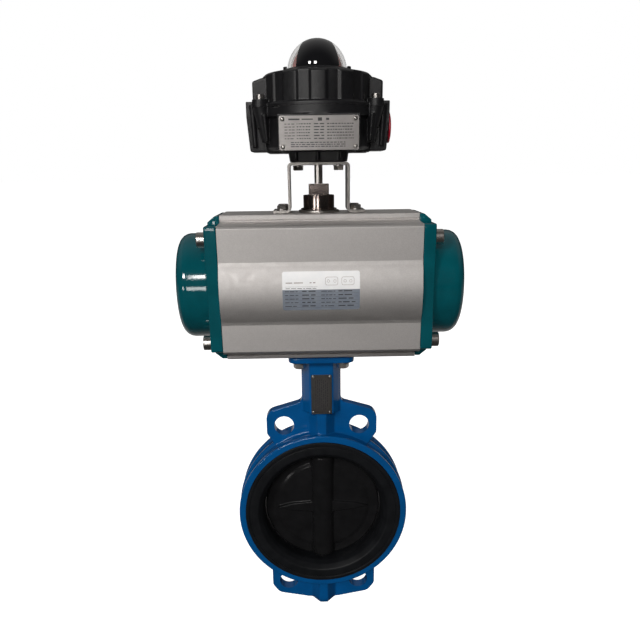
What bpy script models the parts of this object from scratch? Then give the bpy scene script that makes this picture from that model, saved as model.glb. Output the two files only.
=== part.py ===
"""Wafer butterfly valve with a rack-and-pinion pneumatic actuator and a switch box on top.

Metres, +Z up along the stem, Y along the pipe, X along the actuator.
The origin is on the stem axis, at the flat underside of the casting that the valve stands on.
Heights below are counted from the centre of the valve bore, where every part's parent empty is.
The valve is modelled closed.
"""

import math

import bmesh
import bpy
from mathutils import Matrix, Vector

# ---- driving dimensions ------------------------------------------------------------------

GAP = 0.0003  # clearance between pieces that rest on each other

# Valve
BORE_HEIGHT = 0.138  # from the underside of the casting to the centre of the bore
BODY_HALF = 0.028  # half the face-to-face length of the casting
RIM_R = 0.1043
BORE_R = 0.0803  # casting bore that holds the rubber seat
LIP_R = 0.0963  # outer radius of the seat's lips
LIP_PROUD = 0.0016  # how far the lips stand out of the casting's faces
SEAT_R = 0.0732
DISC_R = 0.0726
HUB_R = 0.016
STEM_R = 0.0095
STEM_SQUARE = 0.014
STEM_TIP = 0.232
STEM_FOOT_R = 0.0069  # lower journal, which passes through the disc's flats
STEM_BORE_R = 0.0126
FOOT_BORE_R = 0.0105
WEB_HALF = 0.007  # half the thickness of the plate that carries the lugs
LUG_HOLE_R = 0.012
LUG_PCD = 0.240
NECK_HALF_WIDTH = 0.0235
NECK_FOOT = 0.1302
WEB_TOP = 0.156  # where the lug plate runs out into the neck
PAD_HALF_WIDTH = 0.0135
PAD_Y = 0.0215
FLANGE_TOP = 0.204
FLANGE_THICK = 0.007
FLANGE_PCD = 0.070
FLANGE_HOLE_R = 0.0046
LUG_HALF_WIDTH = 0.0673
BOSS_BOTTOM = -BORE_HEIGHT

# Actuator
ACT_BOTTOM = FLANGE_TOP + GAP
ACT_HEIGHT = 0.159
ACT_TOP = ACT_BOTTOM + ACT_HEIGHT
ACT_MID = ACT_BOTTOM + ACT_HEIGHT / 2
ACT_HALF = 0.1068  # half the length of the extrusion
ACT_DEPTH = 0.0653  # half depth at the flat bands
TABLE_DEPTH = 0.0342  # half depth of the top and bottom tables
BULGE_R = 0.0725
CYL_R = 0.0625
CAP_END = 0.157
CAP_NOSE = 0.0125  # radius between the cap's wall and its end
CAP_WALL = 0.007
CAP_INSIDE_R = 0.0515
CAP_FLANGE = 0.0133
DOME_R = 0.0582
CAP_SCREW_Y = 0.050
CAP_SCREW_Z = 0.0556
PISTON_IN = 0.048  # inner face of each piston head when the valve is closed
PISTON_OUT = 0.068
PISTON_R = 0.0617
GROOVE_R = 0.0588
GROOVE_LOW, GROOVE_HIGH = 0.0560, 0.0600
MODULE = 0.0025
TEETH = 16
PITCH_R = MODULE * TEETH / 2
PRESSURE = math.radians(20)
ADDENDUM = 0.0022
DEDENDUM = 0.0029
BACKLASH = 0.00025
RACK_REACH = 0.0415
GEAR_HALF = 0.020
PINION_TOP = ACT_TOP + 0.030
PINION_SHOULDER = ACT_TOP + 0.0185  # from here up the pinion is squared
PINION_FLAT = 0.0109
TOP_JOURNAL_FOOT = 0.3400
CIRCLIP_GROOVE = (ACT_TOP + 0.0030, ACT_TOP + 0.0046)
BOTTOM_BEARING_R, TOP_BEARING_R = 0.0276, 0.0233
PORT_PAD = (0.030, 0.022)  # half its width and half its height
PORT_PAD_Y = 0.0740
PORT_X, PORT_SCREW_Z = 0.012, 0.016
STOP_X = 0.032
STOP_Z = 0.240
STOP_TIP = 0.008
CAM_LOW, CAM_HIGH = 0.2345, 0.2460
CAM_SEAT = 0.0225  # half across the octagon that drives the stop cam

# Switch box
BRACKET_PLATE = 0.0028
BRACKET_TOP = ACT_TOP + 0.0523
BRACKET_HALF = 0.0333
BRACKET_DEPTH = 0.0205
NAMUR_X, NAMUR_Y = 0.040, 0.015
BRACKET_HOLE_R = 0.0034
TOP_BOLT_X = 0.022
BOX_BASE = BRACKET_TOP + GAP
BOX_FLOOR = BOX_BASE + 0.0096
BOX_SPLIT = 0.4687
BOX_R = 0.058
CAVITY_R = 0.048
COVER_R = 0.057
COVER_EDGE = 0.4995
COVER_CROWN = 0.5068
COVER_BOLT = (0.059, 0.028)
COVER_EAR_TOP = 0.4762
COVER_LOBE_TOP = 0.4945
FLANGE_R = 0.0610  # the flanges where the cover meets the lower casting
PLATE_PAD_X, PLATE_PAD_Y = 0.0405, 0.0600
HUB_END = 0.0743
HUB_Z = 0.4500
HUB_R_OUTER = 0.0232
CONDUIT_R = 0.0130
LID_REACH = 0.0670
SHAFT_R = 0.0045
CAM_LEVELS = ((0.4500, 0.4580), (0.4620, 0.4700))  # closed, then open
SWITCH_LEVELS = ((0.4490, 0.4590), (0.4610, 0.4710))
CAM_LOBE_R = 0.0158
INDICATOR_Z = 0.5053  # centre of the dome's sphere
INDICATOR_R = 0.0310
DOME_WALL = 0.0032

LEFT, RIGHT = -1, 1


# ---- scene and materials -----------------------------------------------------------------

def clear_scene():
    for obj in list(bpy.data.objects):
        bpy.data.objects.remove(obj, do_unlink=True)


def new_collection(name):
    collection = bpy.data.collections.new(name)
    bpy.context.scene.collection.children.link(collection)
    return collection


clear_scene()
PARTS = new_collection("actuated_valve")
CUTTERS = new_collection("cutters")
BORE_CENTRE = bpy.data.objects.new("bore_centre", None)
BORE_CENTRE.location = (0.0, 0.0, BORE_HEIGHT)
PARTS.objects.link(BORE_CENTRE)


def material(name, colour, roughness, metallic=0.0):
    made = bpy.data.materials.new(name)
    made.use_nodes = True
    shader = made.node_tree.nodes["Principled BSDF"]
    shader.inputs["Base Color"].default_value = (*colour, 1.0)
    shader.inputs["Roughness"].default_value = roughness
    shader.inputs["Metallic"].default_value = metallic
    return made


BLUE_EPOXY = material("blue_epoxy", (0.010, 0.130, 0.380), 0.35)
TEAL_PAINT = material("teal_paint", (0.005, 0.110, 0.135), 0.35)
ANODISED = material("anodised_aluminium", (0.560, 0.540, 0.520), 0.45, 0.6)
BARE_ALUMINIUM = material("bare_aluminium", (0.700, 0.700, 0.700), 0.40, 1.0)
BLACK_RUBBER = material("black_rubber", (0.012, 0.012, 0.013), 0.50)
BLACK_COATING = material("black_coating", (0.010, 0.010, 0.011), 0.30)
BLACK_PAINT = material("black_paint", (0.015, 0.015, 0.017), 0.40)
STAINLESS = material("stainless", (0.620, 0.590, 0.560), 0.28, 1.0)
STEEL = material("plated_steel", (0.420, 0.380, 0.350), 0.35, 1.0)
BRONZE = material("bearing_bronze", (0.550, 0.380, 0.180), 0.40, 1.0)
NYLON = material("nylon", (0.750, 0.740, 0.700), 0.50)
CLEAR = material("clear_plastic", (0.850, 0.850, 0.850), 0.05)
RED_PLASTIC = material("red_plastic", (0.550, 0.010, 0.030), 0.40)
SWITCH_PLASTIC = material("switch_plastic", (0.030, 0.030, 0.035), 0.50)


# ---- shape helpers -----------------------------------------------------------------------

AXIS_TURN = {
    "X": (0.0, math.pi / 2, 0.0),
    "Y": (-math.pi / 2, 0.0, 0.0),
    "Z": (0.0, 0.0, 0.0),
}
HALF_TURN = (0.0, 0.0, math.pi)
OUTLINE_TURN = {
    "X": (math.pi / 2, 0.0, math.pi / 2),  # outline in Y, Z
    "Y": (math.pi / 2, 0.0, 0.0),  # outline in X, Z
    "Z": (0.0, 0.0, 0.0),  # outline in X, Y
}


def add_object(name, data, finish, place=(0, 0, 0), turn=(0, 0, 0)):
    obj = bpy.data.objects.new(name, data)
    obj.parent = BORE_CENTRE
    obj.location = place
    obj.rotation_euler = turn
    PARTS.objects.link(obj)
    if finish:
        data.materials.clear()
        data.materials.append(finish)
    return obj


def smooth(obj, degrees=35):
    obj.data.shade_smooth()
    obj.data.set_sharp_from_angle(angle=math.radians(degrees))
    return obj


def lathe(name, profile, finish, axis="Z", steps=32, place=(0, 0, 0), ring=False):
    """Turns (radius, height) points about an axis. The outer side runs from top to bottom."""
    mesh = bpy.data.meshes.new(name)
    points = [(radius, 0.0, height) for radius, height in profile]
    edges = [(i, i + 1) for i in range(len(points) - 1)]
    if ring:
        edges.append((len(points) - 1, 0))
    mesh.from_pydata(points, edges, [])
    obj = add_object(name, mesh, finish, place, AXIS_TURN[axis])
    screw = obj.modifiers.new("turn", "SCREW")
    screw.steps = steps
    screw.render_steps = steps
    screw.use_merge_vertices = True
    screw.merge_threshold = 0.00001
    screw.use_smooth_shade = True
    return obj


def tube(name, outer, inner, low, high, finish, axis="Z", steps=32, place=(0, 0, 0)):
    profile = [(outer, high), (outer, low), (inner, low), (inner, high)]
    return lathe(name, profile, finish, axis, steps, place, ring=True)


def rod(name, radius, low, high, finish, axis="Z", steps=24, place=(0, 0, 0), turn=0.0):
    """A cylinder, or a prism where steps is small, between two heights on its axis."""
    mesh = bpy.data.meshes.new(name)
    made = bmesh.new()
    bmesh.ops.create_cone(
        made,
        cap_ends=True,
        segments=steps,
        radius1=radius,
        radius2=radius,
        depth=high - low,
        matrix=Matrix.Translation((0, 0, (low + high) / 2)) @ Matrix.Rotation(turn, 4, "Z"),
    )
    made.to_mesh(mesh)
    made.free()
    return smooth(add_object(name, mesh, finish, place, AXIS_TURN[axis]))


def block(name, low, high, finish):
    """A box between two corners."""
    low, high = Vector(low), Vector(high)
    mesh = bpy.data.meshes.new(name)
    made = bmesh.new()
    size = high - low
    bmesh.ops.create_cube(made, size=1.0, matrix=Matrix.Diagonal((*size, 1.0)))
    made.to_mesh(mesh)
    made.free()
    return add_object(name, mesh, finish, (low + high) / 2)


def prism(name, outline, half, finish, axis="Z", place=(0, 0, 0)):
    """A flat outline given thickness, made as a filled curve and then a welded mesh."""
    curve = bpy.data.curves.new(name, "CURVE")
    curve.dimensions = "2D"
    curve.fill_mode = "BOTH"
    curve.extrude = half
    spline = curve.splines.new("POLY")
    spline.points.add(len(outline) - 1)
    for point, (x, y) in zip(spline.points, outline):
        point.co = (x, y, 0.0, 1.0)
    spline.use_cyclic_u = True
    flat = add_object(name, curve, None, place, OUTLINE_TURN[axis])
    bpy.context.view_layer.update()
    graph = bpy.context.evaluated_depsgraph_get()
    mesh = bpy.data.meshes.new_from_object(flat.evaluated_get(graph))
    welded = bmesh.new()
    welded.from_mesh(mesh)
    bmesh.ops.remove_doubles(welded, verts=welded.verts, dist=0.000001)
    bmesh.ops.recalc_face_normals(welded, faces=welded.faces)
    welded.to_mesh(mesh)
    welded.free()
    place, turn = flat.location.copy(), flat.rotation_euler.copy()
    bpy.data.objects.remove(flat, do_unlink=True)
    return add_object(name, mesh, finish, place, turn)


def combine(target, tool, operation):
    change = target.modifiers.new(tool.name, "BOOLEAN")
    change.operation = operation
    change.object = tool
    tool.hide_render = True
    tool.display_type = "WIRE"
    for collection in list(tool.users_collection):
        collection.objects.unlink(tool)
    CUTTERS.objects.link(tool)
    return target


def cut(target, *tools):
    for tool in tools:
        combine(target, tool, "DIFFERENCE")
    return target


def join(target, *tools):
    for tool in tools:
        combine(target, tool, "UNION")
    return target


def keep_common(target, tool):
    return combine(target, tool, "INTERSECT")


def pattern(obj):
    """Turns an object into a mesh that copies can share, and removes it with its cutters."""
    bpy.context.view_layer.update()
    graph = bpy.context.evaluated_depsgraph_get()
    mesh = bpy.data.meshes.new_from_object(obj.evaluated_get(graph))
    tools = [change.object for change in obj.modifiers if change.type == "BOOLEAN"]
    for helper in (obj, *tools):
        bpy.data.objects.remove(helper, do_unlink=True)
    return mesh


def pattern_in_place(obj):
    """The same, with the object's own turn kept in the mesh."""
    turn = obj.matrix_basis.copy()
    mesh = pattern(obj)
    mesh.transform(turn)
    return mesh


def arc(centre, radius, start, end, steps):
    """Points along an arc, angles in degrees."""
    points = []
    for i in range(steps + 1):
        angle = math.radians(start + (end - start) * i / steps)
        points.append((centre[0] + radius * math.cos(angle), centre[1] + radius * math.sin(angle)))
    return points


def rounded(corners, steps=4):
    """An outline whose corners, given as (x, y, radius), are replaced by arcs."""
    points = []
    count = len(corners)
    for i, (x, y, radius) in enumerate(corners):
        here = Vector((x, y))
        before = (Vector(corners[i - 1][:2]) - here).normalized()
        after = (Vector(corners[(i + 1) % count][:2]) - here).normalized()
        if radius <= 0:
            points.append((x, y))
            continue
        half = before.angle(after) / 2
        reach = radius / math.tan(half)
        start, end = here + before * reach, here + after * reach
        centre = here + (before + after).normalized() * (radius / math.sin(half))
        first, last = start - centre, end - centre
        sweep = first.angle_signed(last)
        for step in range(steps + 1):
            turned = first.copy()
            turned.rotate(Matrix.Rotation(-sweep * step / steps, 2))
            points.append(tuple(centre + turned))
    return points


def plate_outline(half_width, half_height, corner):
    corners = ((1, -1), (1, 1), (-1, 1), (-1, -1))
    return rounded([(x * half_width, y * half_height, corner) for x, y in corners], 2)


def mirrored(half):
    """A closed outline from its right half, listed from one end of the middle line to the other."""
    return half + [(-x, y) for x, y in reversed(half) if abs(x) > 1e-9]


# ---- valve -------------------------------------------------------------------------------

def lug_places():
    angle = math.radians(22.5)
    x, z = LUG_PCD / 2 * math.sin(angle), LUG_PCD / 2 * math.cos(angle)
    return [(sx * x, sz * z) for sx in (LEFT, RIGHT) for sz in (-1, 1)]


def flange_bolt_places():
    reach = FLANGE_PCD / 2 * math.sqrt(0.5)
    return [(sx * reach, sy * reach) for sy in (-1, 1) for sx in (LEFT, RIGHT)]


def casting_ring():
    """The round part of the casting, with raised rims and a thin rib where the lug plate runs on."""
    waist, rib, rim_width = RIM_R - 0.0022, RIM_R + 0.0007, 0.006
    half = [
        (RIM_R, BODY_HALF),
        (RIM_R, BODY_HALF - rim_width),
        (waist, BODY_HALF - rim_width - 0.002),
        (waist, 0.0035),
        (rib, 0.0025),
    ]
    recess = BODY_HALF - 0.003
    inner = [
        (LIP_R + GAP, -BODY_HALF),
        (LIP_R + GAP, -recess),
        (BORE_R, -recess),
        (BORE_R, recess),
        (LIP_R + GAP, recess),
        (LIP_R + GAP, BODY_HALF),
    ]
    outer = half + [(radius, -height) for radius, height in reversed(half)]
    return lathe("valve_body", outer + inner, BLUE_EPOXY, "Y", 40, ring=True)


def top_lug_plate():
    half = [
        (0.0, 0.086, 0),
        (0.058, 0.086, 0),
        (LUG_HALF_WIDTH, 0.102, 0.006),
        (LUG_HALF_WIDTH, 0.131, 0.009),
        (0.030, 0.1425, 0.010),
        (NECK_HALF_WIDTH - 0.001, WEB_TOP, 0),
        (0.0, WEB_TOP, 0),
    ]
    return prism("top_lugs", mirrored_rounded(half), WEB_HALF, None, "Y")


def mirrored_rounded(half):
    return rounded(half + [(-x, y, radius) for x, y, radius in reversed(half) if x > 0])


def bottom_lug_plate():
    half = [
        (0.0, BOSS_BOTTOM, 0),
        (0.026, BOSS_BOTTOM + 0.0005, 0.010),
        (LUG_HALF_WIDTH - 0.004, -0.1260, 0.012),
        (LUG_HALF_WIDTH, -0.108, 0),
        (LUG_HALF_WIDTH, -0.074, 0),
        (0.0, -0.085, 0),
    ]
    return prism("bottom_lugs", mirrored_rounded(half), WEB_HALF, None, "Y")


def stem_rib(name, low, high):
    """The six-sided column that carries the stem between the ring and the lug plate's edge."""
    nose, root, reach = 0.0050, 0.0158, 0.0205
    corners = [(nose, -reach), (root, -WEB_HALF), (root, WEB_HALF), (nose, reach)]
    outline = corners + [(-x, y) for x, y in reversed(corners)]
    return prism(name, outline, (high - low) / 2, None, "Z", (0, 0, (low + high) / 2))


def neck(low, high):
    """The eight-sided column under the mounting flange, with a flat pad front and rear."""
    corners = [(PAD_HALF_WIDTH, -PAD_Y), (0.020, -0.012), (NECK_HALF_WIDTH, -0.005)]
    half = corners + [(x, -y) for x, y in reversed(corners)]
    outline = half + [(-x, y) for x, y in reversed(half)]
    return prism("neck", outline, (high - low) / 2, None, "Z", (0, 0, (low + high) / 2))


def make_valve_body():
    body = casting_ring()
    flange_outline = plate_outline(0.0375, 0.036, 0.011)
    flange_mid = FLANGE_TOP - FLANGE_THICK / 2
    join(
        body,
        top_lug_plate(),
        bottom_lug_plate(),
        stem_rib("upper_rib", 0.0975, 0.134),
        stem_rib("lower_rib", BOSS_BOTTOM, -0.0975),
        neck(NECK_FOOT, FLANGE_TOP - 0.002),
        prism("top_flange", flange_outline, FLANGE_THICK / 2, None, "Z", (0, 0, flange_mid)),
    )
    cut(
        body,
        rod("upper_stem_bore", STEM_BORE_R, 0.060, FLANGE_TOP + 0.01, None, steps=20),
        rod("lower_stem_bore", FOOT_BORE_R, -0.130, -0.060, None, steps=20),
        tube("ring_groove", 0.0150, 0.004, 0.1985, 0.2001, None, steps=20),
    )
    for i, (x, z) in enumerate(lug_places()):
        cut(body, rod(f"lug_hole_{i}", LUG_HOLE_R, -0.02, 0.02, None, "Y", 20, (x, 0, z)))
    for i, (x, y) in enumerate(flange_bolt_places()):
        cut(body, rod(f"flange_hole_{i}", FLANGE_HOLE_R, 0.19, 0.21, None, "Z", 10, (x, y, 0)))
    return body


def make_seat():
    """The rubber seat: a sleeve in the bore with a lip over each face of the casting."""
    face = BODY_HALF + LIP_PROUD
    lip_back = BODY_HALF - 0.003 + GAP
    sleeve = BORE_R - GAP
    bead = SEAT_R + 0.0065
    outer = [(LIP_R, face), (LIP_R, lip_back), (sleeve, lip_back)]
    inner = [(bead, -face), (SEAT_R, -0.0215), (SEAT_R, 0.0215), (bead, face)]
    profile = outer + [(radius, -y) for radius, y in reversed(outer)] + inner
    seat = lathe("seat_liner", profile, BLACK_RUBBER, "Y", 40, ring=True)
    upper = rod("seat_upper_hole", STEM_R + 0.0006, 0.05, 0.1, None, steps=20)
    lower = rod("seat_lower_hole", STEM_FOOT_R + 0.0006, -0.1, -0.05, None, steps=20)
    return cut(seat, upper, lower)


def make_disc():
    """The disc: a thick lens with a round hub along the stem and a cross rib."""
    edge_half, crown = 0.004, 0.0095
    face = [(0.0, crown), (0.030, crown), (0.058, 0.0068), (0.0700, edge_half), (DISC_R, 0.0030)]
    profile = face + [(radius, -y) for radius, y in reversed(face)]
    disc = lathe("valve_disc", profile, BLACK_COATING, "Y", 40)
    rib = rod("cross_rib", 0.0105, -0.056, 0.056, None, "X", 12)
    join(disc, rod("hub", HUB_R, -0.0700, 0.0700, None), rib)
    across = STEM_SQUARE / 2 + GAP
    drive = rod("disc_bore_low", STEM_R + GAP, -0.08, -0.015, None, steps=20)
    keep_common(drive, block("disc_flats", (-0.02, -across, -0.09), (0.02, across, 0.0), None))
    return cut(disc, rod("disc_bore_high", STEM_R + GAP, -0.016, 0.08, None, steps=20), drive)


def make_stem():
    """One shaft: square at the top for the actuator, flats lower down to drive the disc."""
    foot, tip, chamfer = -0.118, STEM_TIP, 0.001
    flats_end, groove_r = -0.066, 0.0085
    groove_low, groove_high = 0.1980, 0.2005
    profile = [
        (0.0, tip),
        (STEM_R - chamfer, tip),
        (STEM_R, tip - chamfer),
        (STEM_R, groove_high),
        (groove_r, groove_high),
        (groove_r, groove_low),
        (STEM_R, groove_low),
        (STEM_R, flats_end),
        (STEM_FOOT_R, flats_end),
        (STEM_FOOT_R, foot),
        (0.0, foot),
    ]
    stem = lathe("valve_stem", profile, STAINLESS, steps=20)
    reach = STEM_SQUARE / 2
    for i in range(4):
        low, high = (reach, -0.02, FLANGE_TOP + 0.001), (0.03, 0.02, tip + 0.01)
        shaving = block(f"square_{i}", low, high, None)
        shaving.location = Matrix.Rotation(i * math.pi / 2, 3, "Z") @ shaving.location
        shaving.rotation_euler = (0, 0, i * math.pi / 2)
        cut(stem, shaving)
    for side in (-1, 1):
        low, high = sorted((side * reach, side * 0.02))
        cut(stem, block(f"flat_{side}", (-0.02, low, -0.072), (0.02, high, -0.015), None))
    return stem


def make_stem_fittings():
    bore = STEM_BORE_R - GAP
    shaft = STEM_R + GAP
    tube("stem_bush_upper", bore, shaft, 0.106, 0.150, BRONZE, steps=20)
    tube("stem_bush_lower", FOOT_BORE_R - GAP, STEM_FOOT_R + GAP, -0.126, -0.098, BRONZE, steps=20)
    tube("stem_seal", bore, shaft, 0.178, 0.192, BLACK_RUBBER, steps=20)
    tube("stem_retaining_ring", 0.0146, 0.0089, 0.1987, 0.1999, STEEL, steps=20)


def hex_bolt(name, across_flats, head, radius, length, washer_r, washer):
    """A hexagon bolt with its washer, head up, whose washer rests on z = 0."""
    bolt = rod(name, across_flats / math.sqrt(3), 0.0, washer + head, None, steps=6)
    join(
        bolt,
        rod(name + "_washer", washer_r, 0.0, washer, None, steps=12),
        rod(name + "_shank", radius, -length, washer, None, steps=8),
    )
    return pattern(bolt)


def make_flange_bolts():
    mesh = hex_bolt("flange_bolt", 0.013, 0.0053, 0.0040, 0.0180, 0.0080, 0.0016)
    under = FLANGE_TOP - FLANGE_THICK - GAP
    names = ("front_left", "front_right", "rear_left", "rear_right")
    for name, (x, y) in zip(names, flange_bolt_places()):
        add_object(f"flange_bolt_{name}", mesh, STAINLESS, (x, y, under), (math.pi, 0, 0))


def make_valve_nameplate():
    half_width, half_height, thick = 0.0122, 0.0245, 0.0008
    front = -PAD_Y - GAP - thick / 2
    outline = plate_outline(half_width, half_height, 0.0012)
    prism("valve_nameplate", outline, thick / 2, STAINLESS, "Y", (0, front, 0.1555))


# ---- actuator ----------------------------------------------------------------------------

def extrusion_outline():
    """Half of the extrusion's section in (depth, height above the middle), bottom to top."""
    half_chord = math.degrees(math.asin(0.0316 / BULGE_R))
    lower = [
        (TABLE_DEPTH, -ACT_HEIGHT / 2),
        (TABLE_DEPTH, -0.0735),
        (0.0400, -0.0700),
        (ACT_DEPTH - 0.002, -0.0655),
        (ACT_DEPTH, -0.0635),
        (ACT_DEPTH, -0.0330),
    ]
    upper = [
        (ACT_DEPTH, 0.0330),
        (ACT_DEPTH, 0.0680),
        (ACT_DEPTH - 0.002, 0.0702),
        (0.0400, 0.0715),
        (TABLE_DEPTH, 0.0735),
        (TABLE_DEPTH, ACT_HEIGHT / 2),
    ]
    return lower + arc((0, 0), BULGE_R, -half_chord, half_chord, 8) + upper


def cap_screw_places():
    return [(sy * CAP_SCREW_Y, sz * CAP_SCREW_Z) for sy in (-1, 1) for sz in (-1, 1)]


def make_actuator_body():
    body = prism("actuator_body", mirrored(extrusion_outline()), ACT_HALF, ANODISED, "X", (0, 0, ACT_MID))
    pad_x, pad_z = PORT_PAD
    pad_low, pad_high = (-pad_x, 0.068, ACT_MID - pad_z), (pad_x, PORT_PAD_Y, ACT_MID + pad_z)
    join(body, block("port_pad", pad_low, pad_high, None))
    cut(
        body,
        rod("cylinder_bore", CYL_R, -0.2, 0.2, None, "X", 44, (0, 0, ACT_MID)),
        rod("bottom_bearing_bore", BOTTOM_BEARING_R, 0.19, ACT_MID, None),
        rod("top_bearing_bore", TOP_BEARING_R, ACT_MID, 0.38, None),
    )
    for side, word in ((LEFT, "left"), (RIGHT, "right")):
        for i, (y, z) in enumerate(cap_screw_places()):
            low, high = sorted((side * (ACT_HALF - 0.026), side * (ACT_HALF + 0.01)))
            cut(body, rod(f"tapped_{word}_{i}", 0.0050, low, high, None, "X", 8, (0, y, ACT_MID + z)))
        cut(
            body,
            rod(f"stop_hole_{word}", 0.0053, 0.03, 0.08, None, "Y", 12, (side * STOP_X, 0, STOP_Z)),
            rod(f"air_port_{word}", 0.0058, 0.03, 0.09, None, "Y", 12, (side * PORT_X, 0, ACT_MID)),
        )
        for z in (-PORT_SCREW_Z, PORT_SCREW_Z):
            place = (side * PORT_X, 0, ACT_MID + z)
            cut(body, rod(f"port_screw_{word}_{z}", 0.0022, 0.0655, 0.09, None, "Y", 8, place))
        for y in (-NAMUR_Y, NAMUR_Y):
            place = (side * NAMUR_X, y, ACT_TOP)
            tap = rod(f"bracket_tap_{word}_{y}", BRACKET_HOLE_R, -0.010, 0.010, None, "Z", 8, place)
            cut(body, tap)
    for i, (x, y) in enumerate(flange_bolt_places()):
        cut(body, rod(f"base_tap_{i}", FLANGE_HOLE_R, 0.19, ACT_BOTTOM + 0.013, None, "Z", 10, (x, y, 0)))
    return body


def make_end_caps():
    """A cup with a domed end on a flange that follows the extrusion's section."""
    inner_face = ACT_HALF + GAP
    flange_end = ACT_HALF + CAP_FLANGE
    nose = arc((DOME_R - CAP_NOSE, CAP_END - CAP_NOSE), CAP_NOSE, 90, 0, 4)
    dome = [(0.0, CAP_END)] + nose + [(DOME_R, inner_face + 0.002), (0.0, inner_face + 0.002)]
    cap = lathe("cap_dome", dome, TEAL_PAINT, "X", 40)
    middle = ((flange_end + inner_face) / 2, 0, 0.0034)
    slab = plate_outline(ACT_DEPTH, 0.0668, 0.003)
    join(cap, prism("cap_slab", slab, (flange_end - inner_face) / 2, None, "X", middle))
    chamfer = 0.0085
    for sign, ledge in ((1, 0.066), (-1, 0.060)):
        edge = sign * ACT_HEIGHT / 2
        wedge = [(inner_face, sign * ledge), (flange_end, sign * ledge), (flange_end, edge - sign * chamfer)]
        wedge += [(flange_end - chamfer, edge), (inner_face, edge)]
        join(cap, prism(f"cap_table_{sign}", wedge, TABLE_DEPTH, None, "Y"))
    floor, mouth = CAP_END - CAP_WALL, inner_face - 0.01
    hollow = [(0.0, floor), (CAP_INSIDE_R - CAP_NOSE, floor), (CAP_INSIDE_R, floor - CAP_NOSE)]
    hollow += [(CAP_INSIDE_R, mouth), (0.0, mouth)]
    cut(cap, lathe("cap_hollow", hollow, None, "X", 32))
    for i, (y, z) in enumerate(cap_screw_places()):
        cut(cap, rod(f"cap_hole_{i}", 0.0053, 0.09, 0.13, None, "X", 10, (0, y, z)))
    mesh = pattern_in_place(cap)
    add_object("end_cap_right", mesh, TEAL_PAINT, (0, 0, ACT_MID))
    add_object("end_cap_left", mesh, TEAL_PAINT, (0, 0, ACT_MID), HALF_TURN)


def socket_screw(name, head_r, head, radius, length, key):
    """A socket head screw, head up, whose head rests on z = 0."""
    screw = rod(name, head_r, 0.0, head, None, steps=14)
    join(screw, rod(name + "_shank", radius, -length, 0.001, None, steps=8))
    cut(screw, rod(name + "_key", key, head * 0.45, head + 0.01, None, steps=6))
    return pattern(screw)


def make_cap_screws():
    mesh = socket_screw("cap_screw", 0.0080, 0.0090, 0.0046, 0.036, 0.0046)
    names = {(-1, -1): "front_bottom", (-1, 1): "front_top", (1, -1): "rear_bottom", (1, 1): "rear_top"}
    for side, word in ((LEFT, "left"), (RIGHT, "right")):
        for y, z in cap_screw_places():
            corner = names[(round(math.copysign(1, y)), round(math.copysign(1, z)))]
            place = (side * (ACT_HALF + CAP_FLANGE + GAP), y, ACT_MID + z)
            turn = (0, side * math.pi / 2, 0)
            add_object(f"cap_screw_{word}_{corner}", mesh, STAINLESS, place, turn)


def rack_outline():
    """The right piston's rack arm in (x, y), in front of the pinion with its teeth facing back."""
    pitch = math.pi * MODULE
    slope = math.tan(PRESSURE)
    half_tooth = (pitch / 2 - BACKLASH) / 2
    low, high = half_tooth + DEDENDUM * slope, half_tooth - ADDENDUM * slope
    back, root, tip = 0.042, PITCH_R + DEDENDUM, PITCH_R - ADDENDUM
    points = [(RACK_REACH, back), (RACK_REACH, root)]
    for k in range(4, -3, -1):
        middle = (k + 0.5) * pitch
        points += [(middle + low, root), (middle + high, tip), (middle - high, tip), (middle - low, root)]
    points += [(-PISTON_IN - 0.004, root), (-PISTON_IN - 0.004, back)]
    return [(-x, -y) for x, y in points]


def make_pistons():
    """A grooved piston head with a rack arm that passes the pinion on one side, and its seal."""
    profile = [
        (0.0, PISTON_OUT),
        (PISTON_R, PISTON_OUT),
        (PISTON_R, GROOVE_HIGH),
        (GROOVE_R, GROOVE_HIGH),
        (GROOVE_R, GROOVE_LOW),
        (PISTON_R, GROOVE_LOW),
        (PISTON_R, PISTON_IN),
        (0.0, PISTON_IN),
    ]
    head = lathe("piston_head", profile, BARE_ALUMINIUM, "X", 36)
    join(head, prism("rack_arm", rack_outline(), 0.018, None, "Z"))
    low, high = GROOVE_LOW + GAP, GROOVE_HIGH - GAP
    seal = tube("seal_ring", CYL_R - 0.0004, GROOVE_R + GAP, low, high, None, "X", 36)
    head_mesh, seal_mesh = pattern_in_place(head), pattern_in_place(seal)
    for word, turn in (("right", (0, 0, 0)), ("left", HALF_TURN)):
        add_object(f"piston_{word}", head_mesh, BARE_ALUMINIUM, (0, 0, ACT_MID), turn)
        add_object(f"piston_seal_{word}", seal_mesh, BLACK_RUBBER, (0, 0, ACT_MID), turn)


def pinion_teeth():
    """The pinion's outline in (x, y): involute flanks, with a tooth on the +Y axis."""
    base_r = PITCH_R * math.cos(PRESSURE)
    tip_r, root_r = PITCH_R + ADDENDUM, PITCH_R - DEDENDUM
    involute = math.tan(PRESSURE) - PRESSURE
    half_pitch_angle = (math.pi * MODULE / 2 - BACKLASH) / 2 / PITCH_R
    flank = []
    for i in range(3):
        radius = base_r + (tip_r - base_r) * i / 2
        roll = math.acos(min(1.0, base_r / radius))
        flank.append((radius, half_pitch_angle + involute - (math.tan(roll) - roll)))
    root_angle = flank[0][1] + 0.01
    side = [(root_r, root_angle)] + flank
    points = []
    for tooth in range(TEETH):
        middle = math.pi / 2 + 2 * math.pi * tooth / TEETH
        for radius, angle in side:
            points.append((radius * math.cos(middle - angle), radius * math.sin(middle - angle)))
        for radius, angle in reversed(side):
            points.append((radius * math.cos(middle + angle), radius * math.sin(middle + angle)))
    return points


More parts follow.
